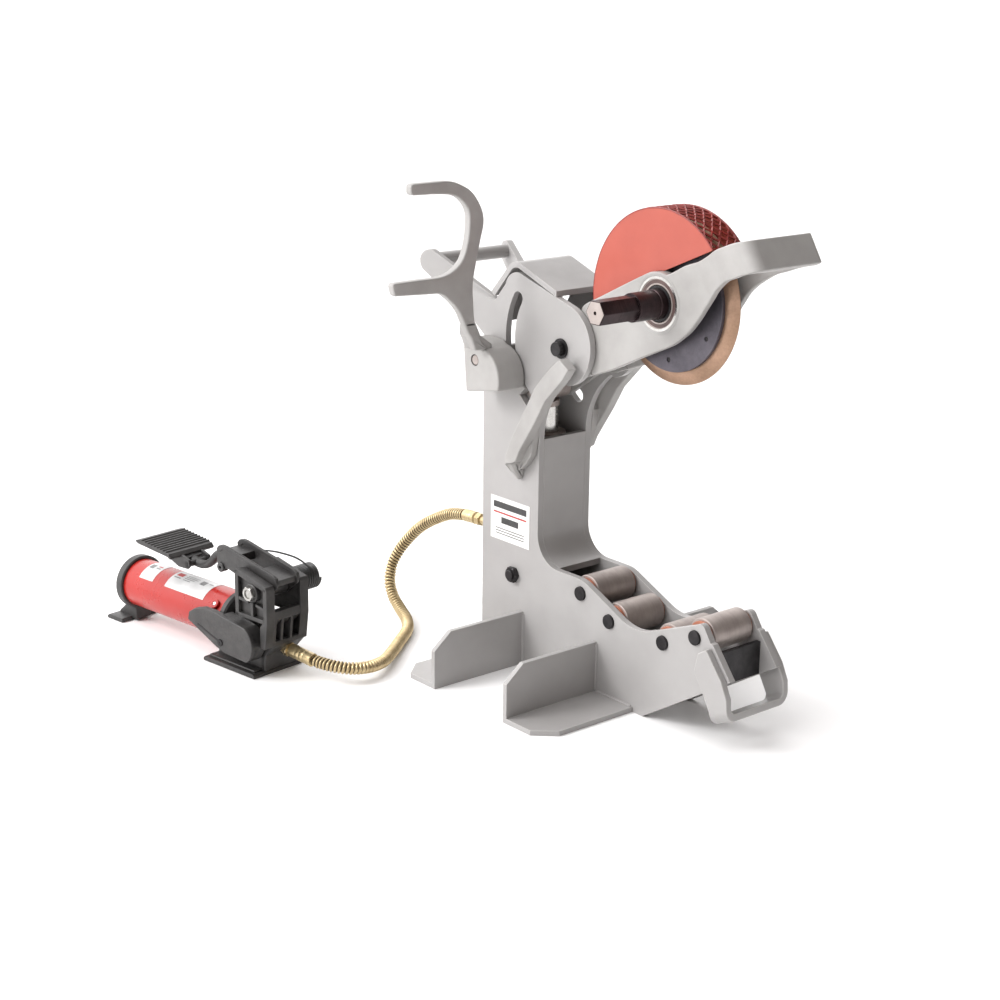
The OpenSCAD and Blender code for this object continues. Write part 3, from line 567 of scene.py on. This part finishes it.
def pump_pad():
    half = 52
    ridges = [(-270, 184), (-269, 187), (-258, 190)]
    count = 9
    for i in range(count):
        x = -256 + i * 80 / count
        z = 189 - i * 8 / count
        ridges += [(x, z), (x + 2, z + 2.2), (x + 5, z + 2.0), (x + 6.8, z - 0.8)]
    ridges += [(-172, 180), (-166, 174), (-168, 170), (-176, 174), (-262, 181)]
    parts = [prism(ridges, -half, half, pump, 0.5, 1)]
    for y in (-26, 20):
        parts.append(prism([(-250, 183), (-176, 177), (-146, 168), (-143, 158), (-150, 150), (-176, 149),
                            (-205, 160)], y, y + 6, pump, 1.2))
    parts.append(prism([(-214, 178), (-176, 174), (-160, 168), (-170, 160), (-205, 166)], -21, 21, pump, 1.5))
    parts.append(lathe([(-26, 1), (-26, 6), (26, 6), (26, 1)], pump(-152, 0, 159), pump_dir(0, 1, 0), 24))
    return joined(parts)


def release_shape():
    nose = arc(40, 62, 36, 70, -60, 20)
    full = [(-104, 74), (-100, 90), (-84, 100), (-60, 107), (-30, 107), (-10, 104)] + nose
    full += [(0, 34), (-24, 40)]
    front = [(-14, 44), (-14, 104)] + nose + [(0, 36)]
    parts = [prism(full, -66, -53, pump, 2.2, 3), prism(front, -60, -34.6, pump, 2.2, 3)]
    parts.append(prism([(-76, 71), (-74, 74), (-18, 56), (-20, 53)], -66.4, -65, pump, 0, material=1))
    parts.append(lathe([(-67.6, 1), (-67.6, 6.5), (-66, 7), (-60, 7), (-60, 1)], pump(-12, 0, 52),
                       pump_dir(0, 1, 0), 32, material=1))
    return joined(parts)


def coil_spring():
    """Close-wound torsion spring round the pivot bolt, with the long leg over to the lever."""
    turns, wire, radius, start, pitch, steps = 8, 2.6, 22, 53, 5.3, 28
    line = []
    for i in range(turns * steps + 1):
        a = 2 * math.pi * i / steps
        y = start + i / steps * pitch
        line.append(pump(LEVER_X + radius * math.cos(a), y, LEVER_Z + radius * math.sin(a)))
    bm = tube_bmesh(line, lambda s, a: wire * MM, 10)
    join_into(bm, lathe([(50, 9), (50, 17), (96, 17), (97, 15), (97, 9)], pump(LEVER_X, 0, LEVER_Z),
                        pump_dir(0, 1, 0), 40))
    bends = [(22, 74, 160), (16, 74, 180), (-6, 66, 196), (-36, 46, 206), (-64, 34, 206), (-72, 28, 204)]
    leg = [pump(LEVER_X + x, y, z) for x, y, z in bends]
    join_into(bm, tube_bmesh(even_line(smooth_line(leg, 10), 3 * MM)[0], lambda s, a: 1.7 * MM, 10))
    return bm


def end_ring():
    parts = [
        lathe([(-340, 3), (-340, 49), (-338, 52), (-324, 52), (-322, 50), (-322, 46.1), (-330, 46.1),
               (-330, 3)], pump(0, 0, TUBE_Z), pump_dir(1, 0, 0), 96),
        prism([(-340, 44), (-378, 12), (-378, 4), (-324, 4), (-324, 40)], -18, 18, pump, 3, 3),
        prism([(-386, 0), (-338, 0), (-338, 9), (-380, 9), (-386, 5)], -42, 42, pump, 2, 2),
    ]
    return joined(parts)


def filler_plug():
    """The tank's screw plug, leaning over to the near side, with a pale middle."""
    lean = math.radians(52)
    way = pump_dir(0, -math.sin(lean), math.cos(lean))
    foot = pump(-56, 0, TUBE_Z)
    body = lathe([(44, 0.3), (44, 8.9), (51.2, 8.9), (52, 8.1), (52, 5), (51, 5), (51, 0.3)], foot, way, 40)
    dot = lathe([(50, 0.2), (50, 3.4), (51.9, 3.4), (51.9, 0.2)], foot, way, 32, 1)
    return joined([body, dot])


finish_piece(pump_casting(), "pump_casting", [CAST_BLACK], "pump_base")
finish_piece(pump_lever(), "pump_lever_casting", [CAST_BLACK], "pump_lever")
finish_piece(pump_pad(), "pump_pad", [CAST_BLACK], "pump_pedal")
finish_piece(release_shape(), "release_casting", [CAST_BLACK, DARK_STEEL], "release_pedal")
finish_piece(filler_plug(), "filler_plug_finish", [GLOSS_RED, WHITE], "filler_plug")
finish_piece(coil_spring(), "pump_torsion_spring", [SPRING_BLACK], "pump_spring")
finish_piece(end_ring(), "pump_end_casting", [CAST_BLACK], "pump_end_ring")

# ---------------------------------------------------------------- labels

def sheet_bars(bars, place, lift):
    """Flat printed bars; each is (u0, u1, v0, v1, material) on the sheet that place(u, v, lift) describes."""
    bm = bmesh.new()
    for u0, u1, v0, v1, material in bars:
        count = max(1, round(abs(v1 - v0) / 3))
        for k in range(count):
            a, b = v0 + (v1 - v0) * k / count, v0 + (v1 - v0) * (k + 1) / count
            corners = [bm.verts.new(place(u, v, lift)) for u, v in ((u0, a), (u1, a), (u1, b), (u0, b))]
            bm.faces.new(corners).material_index = material
    return bm


def column_label(u, v, lift):
    return at(24.5 + u, -PLATE_FACE - 0.6 - lift, 222.8 + v)


def tube_label(u, v, lift):
    """u runs along the pump's tube, v around it in degrees from the top towards the near side."""
    a = math.radians(90 + v)
    r = TUBE_R + 0.4 + lift
    return pump(u, r * math.cos(a), TUBE_Z + r * math.sin(a))


column_bars = [(8, 100, 60, 72, 0), (8, 100, 50, 53, 1), (30, 78, 32, 44, 0)]
column_bars += [(14, 94, 21 - 5 * i, 22.6 - 5 * i, 0) for i in range(3)]
finish_piece(sheet_bars(column_bars, column_label, 0.06), "column_label_print", [INK, RED_INK], "label_plate",
             hides=False)
tube_bars = [(-280, -268, 4, 20, 0), (-262, -250, 4, 8, 1), (-262, -250, 12, 16, 0), (-202, -184, 0, 14, 1),
             (-202, -184, 18, 22, 0), (-176, -142, 2, 4, 0), (-176, -142, 8, 10, 0), (-176, -148, 14, 16, 0),
             (-176, -156, 20, 22, 0), (-132, -118, 2, 18, 0), (-112, -102, 4, 8, 0)]
finish_piece(sheet_bars(tube_bars, tube_label, 0.08), "pump_label_print", [GREY_INK, RED_INK], "pump_labels",
             hides=False)

# ---------------------------------------------------------------- hardware

def hex_nut(centre, axis, across_flats, height, bore, turn=0.0):
    """A nut with chamfered corners; axis points out of its face."""
    axis = Vector(axis).normalized()
    side = axis.orthogonal().normalized()
    over = axis.cross(side)
    corner = across_flats / math.sqrt(3)
    steps = 48
    bm = bmesh.new()

    def ring(along, radius, flats):
        out = []
        for k in range(steps):
            a = 2 * math.pi * k / steps
            reach = radius
            if flats:
                off = (a % (math.pi / 3)) - math.pi / 6
                reach = min(radius, across_flats / 2 / math.cos(off))
            spoke = side * math.cos(a + turn) + over * math.sin(a + turn)
            out.append(bm.verts.new(centre + axis * (along * MM) + spoke * (reach * MM)))
        return out

    chamfer = corner - across_flats / 2
    rings = [ring(0, bore, False), ring(0, across_flats / 2 * 0.99, False), ring(chamfer * 0.6, corner, True),
             ring(height - chamfer * 0.6, corner, True), ring(height, across_flats / 2 * 0.99, False),
             ring(height, bore, False)]
    for low, high in zip(rings, rings[1:] + rings[:1]):
        for k in range(steps):
            m = (k + 1) % steps
            bm.faces.new((low[k], low[m], high[m], high[k]))
    bmesh.ops.recalc_face_normals(bm, faces=bm.faces)
    return bm


def round_end(centre, axis, radius, height, steps=48):
    """The chamfered end of a bar."""
    return lathe([(0, 0.2), (0, radius), (height - 1.2, radius), (height, radius - 1.2), (height, 0.2)],
                 centre, axis, steps)


bolt_x, bolt_z = CYLINDER_BOLT
parts = []
for side in (-1, 1):
    seat = at(bolt_x, side * PLATE_FACE, bolt_z)
    parts.append(hex_nut(seat, (0, side, 0), 27, 10, 9.9, 0.3))
    parts.append(round_end(seat, (0, side, 0), 9.9, 14))
rod = [(-PLATE_FACE, 0.2), (-PLATE_FACE, 9.9), (PLATE_FACE, 9.9), (PLATE_FACE, 0.2)]
parts.append(lathe(rod, at(bolt_x, 0, bolt_z)))
finish_piece(joined(parts), "cylinder_bolt_finish", [DARK_STEEL], "cylinder_bolt")

parts = [hex_nut(pump(LEVER_X, -52, LEVER_Z), pump_dir(0, -1, 0), 24, 8, 7.9, 0.2),
         round_end(pump(LEVER_X, -52, LEVER_Z), pump_dir(0, -1, 0), 7.9, 6),
         lathe([(-52, 0.2), (-52, 7.9), (97, 7.9), (97, 0.2)], pump(LEVER_X, 0, LEVER_Z),
               pump_dir(0, 1, 0), 32)]
finish_piece(joined(parts), "pump_bolt_finish", [ZINC], "pump_bolt")

pump_port = pump(76, 15, 44)
hose_end = hose_points[-1]
lead = (hose_end - pump_port).normalized()
parts = [hex_nut(pump_port - lead * 2 * MM, lead, 25, 13, 8, 0.4),
         hex_nut(at(-40, -30, 232), (-1, 0, 0), 22, 12, 8, 0.1)]
finish_piece(joined(parts), "hose_union_nuts", [BRASS], "hose_nuts")


def sleeve_profile(length, wide, narrow):
    """A crimped sleeve: a collar, three pressed rings and a rounded lip."""
    out = [(0, narrow - 3), (0, narrow), (3, narrow), (5, wide)]
    for k in range(3):
        x = length * (0.35 + 0.17 * k)
        out += [(x - 2.5, wide), (x - 1, wide - 0.7), (x + 1, wide - 0.7), (x + 2.5, wide)]
    return out + [(length - 1.5, wide), (length, wide - 1.2), (length, wide - 4), (length - 1, narrow - 3)]


pump_seat = pump_port + lead * 11 * MM
column_seat = at(-52, -30, 232)
sleeve_a = hose_end - pump_seat
sleeve_b = hose_points[0] - column_seat
parts = [lathe(sleeve_profile(sleeve_a.length / MM, 12.4, 9.5), pump_seat, sleeve_a, 48),
         lathe(sleeve_profile(sleeve_b.length / MM, 11.8, 8.5), column_seat, sleeve_b, 48)]
sleeves = finish_piece(joined(parts), "hose_end_sleeves", [BRASS], "hose_sleeves")

hose_route = even_line(hose_line, 0.02)[0]


# ---------------------------------------------------------------- welds

def weld(points, radius=3.2):
    """A fillet bead with the ripples of its passes."""
    ripple, pitch = 0.35, 3.2
    line = even_line([at(*p) for p in points], 1.6 * MM)[0]
    return tube_bmesh(line, lambda s, a: (radius + ripple * math.sin(s / MM * 2 * math.pi / pitch)) * MM, 10)


parts = []
for side in (-1, 1):
    y = side * PLATE_FACE
    for x, turn in ((118.8, -1), (307.2, 1)):
        back = x + turn * 9.5
        parts.append(weld([(x, y, 3), (x, y, 98)]))
        parts.append(weld([(back, y, 12), (back, y, 98)], 2.6))
        parts.append(weld([(back + turn * 3, y, 9.5), (back + turn * 90, y, 9.5)], 2.6))
finish_piece(joined(parts), "foot_welds", [PAINT], "near_feet", hides=False, smooth=60)

# ---------------------------------------------------------------- cutter arm

ALONG = (0.85, 0.5268)  # the arm's direction in XZ; the other direction is square to it, downwards
# The arm's upper and lower edges, as distances along it and across it.
ARM_TOP = [(530, -440), (558, -446), (569, -452), (605.5, -449.4), (744.8, -435.6), (754, -431),
           (774.5, -417), (793.8, -413.5), (821.8, -411.5), (854.9, -404.5), (879.7, -402),
           (909.4, -401), (929.6, -397), (961.5, -389.7), (990, -378.7)]
ARM_LOW = [(530, -338.2), (582.9, -328.3), (652.5, -320.3), (728.8, -310.5), (754.9, -311.4), (780.6, -315),
           (812.3, -325.5), (827.8, -332.3), (863, -345.5), (902.6, -349), (922.9, -345), (949.3, -340),
           (990, -327.9)]
CHEEK_MID, CHEEK_HALF = 41.35, 6.1
CHEEK_START, FLARE_START, BAR_U = 530, 848, 984.3
FLARE = math.tan(math.radians(13.7))


def along_arm(u, y, w):
    x = ALONG[0] * u + ALONG[1] * w
    z = ALONG[1] * u - ALONG[0] * w
    return at(x, y, z)


def eased(table, u):
    """A smooth value between the rows of a table."""
    last = len(table) - 1
    u = max(table[0][0], min(table[-1][0], u))
    i = max(k for k in range(last) if table[k][0] <= u)
    a, b, c, d = (table[max(i - 1, 0)], table[i], table[i + 1], table[min(i + 2, last)])
    t = (u - b[0]) / (c[0] - b[0])
    slope_b = (c[1] - a[1]) / (c[0] - a[0]) * (c[0] - b[0])
    slope_c = (d[1] - b[1]) / (d[0] - b[0]) * (c[0] - b[0])
    h = t * t * (3 - 2 * t)
    return b[1] + (c[1] - b[1]) * h + slope_b * t * (1 - t) ** 2 - slope_c * t * t * (1 - t)


def rounded_path(points, radii, steps=14):
    """A polyline in a plane with its corners rounded."""
    out = [points[0]]
    for before, corner, after, radius in zip(points, points[1:], points[2:], radii):
        come, go = (corner - before).normalized(), (after - corner).normalized()
        angle = come.angle(go)
        reach = radius * math.tan(angle / 2)
        start, end = corner - come * reach, corner + go * reach
        middle = start + (end - start) / 2
        centre = corner + (middle - corner).normalized() * (radius / math.cos(angle / 2))
        a, b = start - centre, end - centre
        for k in range(steps + 1):
            t = k / steps
            spoke = (a * math.sin((1 - t) * angle) + b * math.sin(t * angle)) / math.sin(angle)
            out.append(centre + spoke)
    return out + [points[-1]]


def arm_loop():
    """Both cheeks and the handle as one bent bar, with its height changing along the way."""
    turn_y = CHEEK_MID + (BAR_U - FLARE_START) * FLARE
    half = [(CHEEK_START, CHEEK_MID), (FLARE_START, CHEEK_MID), (BAR_U, turn_y)]
    corners = [Vector((u, -y)) for u, y in half] + [Vector((u, y)) for u, y in reversed(half)]
    path = rounded_path(corners, (60, 13, 13, 60))
    dense = []
    for a, b in zip(path, path[1:]):
        count = max(1, math.ceil((b - a).length / 6))
        dense += [a.lerp(b, k / count) for k in range(count)]
    dense.append(path[-1])
    bm = bmesh.new()
    rings = []
    for i, here in enumerate(dense):
        run = (dense[min(i + 1, len(dense) - 1)] - dense[max(i - 1, 0)]).normalized()
        out = Vector((run.y, -run.x)) * CHEEK_HALF
        high, low = eased(ARM_TOP, here.x), eased(ARM_LOW, here.x)
        corners = ((here + out, high), (here + out, low), (here - out, low), (here - out, high))
        rings.append([bm.verts.new(along_arm(*spot, level)) for spot, level in corners])
    for low, high in zip(rings, rings[1:]):
        for k in range(4):
            m = (k + 1) % 4
            bm.faces.new((low[k], low[m], high[m], high[k]))
    bm.faces.new(rings[0])
    bm.faces.new(list(reversed(rings[-1])))
    bmesh.ops.recalc_face_normals(bm, faces=bm.faces)
    return bevelled(bm, 2.6, 3)


def cut(bm, tool):
    """The first solid with the second taken away."""
    objects = []
    for one in (bm, tool):
        mesh = bpy.data.meshes.new("cutting")
        one.to_mesh(mesh)
        one.free()
        made = bpy.data.objects.new("cutting", mesh)
        bpy.context.scene.collection.objects.link(made)
        objects.append(made)
    taken = objects[0].modifiers.new("cut", "BOOLEAN")
    taken.operation = "DIFFERENCE"
    taken.solver = "EXACT"
    taken.object = objects[1]
    bpy.context.view_layer.update()
    done = objects[0].evaluated_get(bpy.context.evaluated_depsgraph_get())
    out = bmesh.new()
    out.from_mesh(done.to_mesh())
    done.to_mesh_clear()
    for made in objects:
        mesh = made.data
        bpy.data.objects.remove(made)
        bpy.data.meshes.remove(mesh)
    return out


wheel_centre = at(WHEEL[0], 0, WHEEL[1])
parts = [cut(arm_loop(), lathe([(-60, 0.3), (-60, 45), (60, 45), (60, 0.3)], wheel_centre))]
rear = [(270, 566.5), (262, 600), (256, 640), (240, 668), (228, 664), (206, 660)]
rear += arc(*PIVOT, 55, 100, 165, 12) + [(76, 548)] + arc(110.96, 511.4, 20, 160, 300, 16)
rear += [(200, 547), (245, 557)]
for y0, y1 in ((-47.35, -35.3), (35.3, 47.35)):
    parts.append(prism(rear, y0, y1, at, 1.5))
for side in (-1, 1):
    parts.append(lathe([(26.6, 45), (26.6, 50.5), (28, 52), (46, 52), (48.2, 50), (48.2, 46.4), (47.6, 45)],
                       wheel_centre, (0, side, 0)))
parts.append(lathe([(-36, 17), (-36, 28), (36, 28), (36, 17)], at(PIVOT[0], 0, PIVOT[1])))
parts.append(prism([(232, 575), (244, 575), (252, 640), (240, 652), (226, 640)], -36, 36, at, 1.5))
finish_piece(joined(parts), "cutter_arm_casting", [CAST_PAINT], "cutter_arm", smooth=40)

# ---------------------------------------------------------------- torque bracket

def hook_at(y, x, z):
    """The hook's outline lies in YZ, so its prism runs along X."""
    return at(x, y, z)


def smooth_outline(points):
    line = smooth_line([Vector((a, 0, b)) for a, b in points], 6)
    return [(p.x, p.z) for p in line]


HOOK_OUT = [(-118, 590), (-136, 612), (-147, 640), (-151, 676), (-152, 710), (-145, 746), (-136, 783),
            (-129, 813), (-134.6, 838), (-154, 865), (-179, 880), (-204, 887.5), (-240, 888.3), (-282, 888)]
HOOK_TIP = [(-286, 885), (-286, 873), (-282, 869)]
HOOK_IN = [(-240, 868), (-199, 864), (-177, 853), (-163, 834), (-161, 811), (-165, 780), (-176, 752),
           (-196, 735), (-223, 727), (-270, 726.5), (-322, 726)]
FORK_TIP = [(-325, 722), (-321, 706), (-317, 704)]
HOOK_LOW = [(-280, 702), (-247, 700), (-223, 698), (-206, 687), (-190, 672), (-179, 657), (-166, 630),
            (-155, 612), (-146, 590)]


def hook_bm():
    outline = smooth_outline(HOOK_OUT) + HOOK_TIP + smooth_outline(HOOK_IN)
    outline += FORK_TIP + smooth_outline(HOOK_LOW)
    return prism(outline, 64, 80, hook_at, 3.2, 4)


def tapered(first, second, width):
    """A hull round two boxes, each given by its corner and size."""
    bm = bmesh.new()
    for (x, y, z), (dx, dy, dz) in (first, second):
        for k in range(8):
            bm.verts.new(at(x + dx * (k & 1), y + dy * (k >> 1 & 1), z + dz * (k >> 2)))
    made = bmesh.ops.convex_hull(bm, input=bm.verts)
    loose = [v for v in made["geom_interior"] + made["geom_unused"] if isinstance(v, bmesh.types.BMVert)]
    bmesh.ops.delete(bm, geom=list(set(loose)), context="VERTS")
    bmesh.ops.dissolve_limit(bm, angle_limit=math.radians(1), verts=bm.verts, edges=bm.edges)
    return bevelled(bm, width, 3, 20)


boss = [(25, 505)] + arc(60, 536, 56, -16, 80, 16) + [(56, 598), (16, 600)]
neck = arc(*PIVOT, 125.6, 206, 224, 8) + arc(*PIVOT, 145.6, 224, 206, 8)
bolt_at = at(BRACKET_BOLT[0], 0, BRACKET_BOLT[1])
screw = lathe([(-130, 0.3), (-130, 10.5), (-121, 10.5), (-121, 0.3)], bolt_at)
middle = ((46, -153, 612), (32, 20, 4))
parts = [hook_bm(), cut(prism(boss, -124, -64, at, 3.5, 3), screw), prism(neck, -66, -48, at, 1),
         tapered(middle, ((20, -124, 584), (54, 20, 13)), 3),
         tapered(((64, -169, 636), (16, 22, 6)), middle, 3)]
finish_piece(joined(parts), "torque_bracket_casting", [CAST_PAINT], "torque_bracket", smooth=40)
# The dark ring in the gap round the bolt head is painted shade in the counterbore.
parts = [lathe([(-121, 0.3), (-121, 8.6), (-122.4, 8.6), (-123.2, 7.8), (-123.2, 0.3)], bolt_at, steps=48),
         lathe([(-121, 8.8), (-121, 10.4), (-122, 10.4), (-122, 8.8)], bolt_at, steps=48, material=1)]
finish_piece(joined(parts), "bracket_bolt_head", [ROLLER_STEEL, DARK_STEEL], "bracket_bolt")

# ---------------------------------------------------------------- guard mesh

MESH_START, MESH_END = 41.2, 186.0


def guard_point(angle, y, radius=GUARD_R):
    a = math.radians(angle)
    return at(GUARD[0] + radius * math.cos(a), y, GUARD[1] + radius * math.sin(a))


def guard_mesh():
    """Expanded metal: strands that zigzag around the rim and meet their neighbours at every turn."""
    strands, half, steps = 7, 32.6, 36
    pitch = 2 * half / strands
    bm = bmesh.new()
    for j in range(strands + 1):
        line = []
        for i in range(steps + 1):
            sway = pitch * 0.46 * (1 if (i + j) % 2 else -1)
            y = max(-half, min(half, -half + j * pitch + sway))
            a = MESH_START + 1.2 + (MESH_END - MESH_START - 2.4) * i / steps
            for shift in (-0.25, 0.25):
                line.append(guard_point(a + shift, y, GUARD_R - 2.0 + (0.5 if i % 2 else -0.3)))
        tube_bmesh(line, lambda s, a: 1.9 * MM, 4, bm)
    for y in (-33.6, 33.6):
        angles = [MESH_START + (MESH_END - MESH_START) * i / 72 for i in range(73)]
        rail = [guard_point(a, y, GUARD_R - 1.6) for a in angles]
        tube_bmesh(rail, lambda s, a: 1.4 * MM, 6, bm)
    for a in (MESH_START + 0.6, MESH_END - 0.6):
        bar = [guard_point(a, y, GUARD_R - 2.2) for y in (-33.5, 0, 33.5)]
        tube_bmesh(bar, lambda s, a: 2.0 * MM, 6, bm)
    return bm


finish_piece(guard_mesh(), "guard_mesh", [MESH_RED], "guard_band", smooth=50)

# ---------------------------------------------------------------- shaft bearings

for side, name in ((-1, "near"), (1, "far")):
    seal = lathe([(46.0, 29.6), (46.0, 31), (45.2, 31.6), (45.2, 33), (46.1, 33.6), (46.1, 39.4),
                  (45.4, 40.2), (45.4, 41.2), (42, 41.2), (42, 29.6)], wheel_centre, (0, side, 0))
    finish_piece(seal, name + "_bearing_seal", [SEAL], "shaft_bearings", hides=False)
    inner = lathe([(46.8, 25.3), (47.3, 25.9), (47.3, 28.9), (46.8, 29.5), (42, 29.5), (42, 25.3)],
                  wheel_centre, (0, side, 0))
    finish_piece(inner, name + "_bearing_inner", [DARK_STEEL], "bearing_rings", hides=False)

hexagon = arc(*WHEEL, 20.2, 0, 300, 5)
centre_hole = lathe([(-190, 0.3), (-190, 3.2), (-180, 3.2), (-180, 0.3)], wheel_centre)
finish_piece(cut(prism(hexagon, -184.3, -183.6, at, 0.2), centre_hole), "drive_shaft_end", [ROLLER_STEEL],
             "drive_shaft", hides=False)

# CAD nodes whose own mesh shows, and only their finish changes
PLAIN = {
    "label_plate": WHITE, "arm_bushes": BRONZE, "arm_pin": ROLLER_STEEL, "shaft_bearings": ROLLER_STEEL,
    "bearing_rings": BRIGHT, "flange_screws": DARK_STEEL, "ram_port": BRASS, "pump_labels": PALE_LABEL,
    "pump_piston": BRIGHT,
}
for node, finish in PLAIN.items():
    obj = frame["nodes"][node]
    for spot in obj.material_slots:
        spot.material = finish

# ---------------------------------------------------------------- stage and light

floor_mesh = bpy.data.meshes.new("floor")
bm = bmesh.new()
bmesh.ops.create_grid(bm, x_segments=1, y_segments=1, size=150)
bm.to_mesh(floor_mesh)
bm.free()
floor = bpy.data.objects.new("floor", floor_mesh)
bpy.context.scene.collection.objects.link(floor)
floor_mesh.materials.append(surface("floor_paper", (0.93, 0.93, 0.93), (0.92, 0.92, 0.92), 0.8, clouds=1))

world = bpy.data.worlds.new("studio")
world.use_nodes = True
sky = world.node_tree
where = sky.nodes.new("ShaderNodeTexCoord")
tilt = sky.nodes.new("ShaderNodeVectorMath")
tilt.operation = "DOT_PRODUCT"
tilt.inputs[1].default_value = Vector((-0.78, -0.44, 0.50)).normalized()
sky.links.new(where.outputs["Generated"], tilt.inputs[0])
glow = remap(sky, tilt.outputs["Value"], -0.08, 0.66, 0, 1)
light = mix(sky, glow, (0.10, 0.078, 0.066), (2.45, 2.42, 2.42))
ray = sky.nodes.new("ShaderNodeLightPath")
backdrop = mix(sky, ray.outputs["Is Camera Ray"], light, (1.0, 1.0, 1.0))
sky.links.new(backdrop, sky.nodes["Background"].inputs["Color"])
bpy.context.scene.world = world


def lamp(name, where, aim, size, power):
    data = bpy.data.lights.new(name, "AREA")
    data.shape = "RECTANGLE"
    data.size, data.size_y = size
    data.energy = power
    made = bpy.data.objects.new(name, data)
    bpy.context.scene.collection.objects.link(made)
    made.location = where
    made.rotation_euler = (Vector(aim) - Vector(where)).to_track_quat("-Z", "Y").to_euler()


lamp("key", (-1.3, -3.0, 2.5), (0.1, 0, 0.4), (1.2, 1.2), 75)
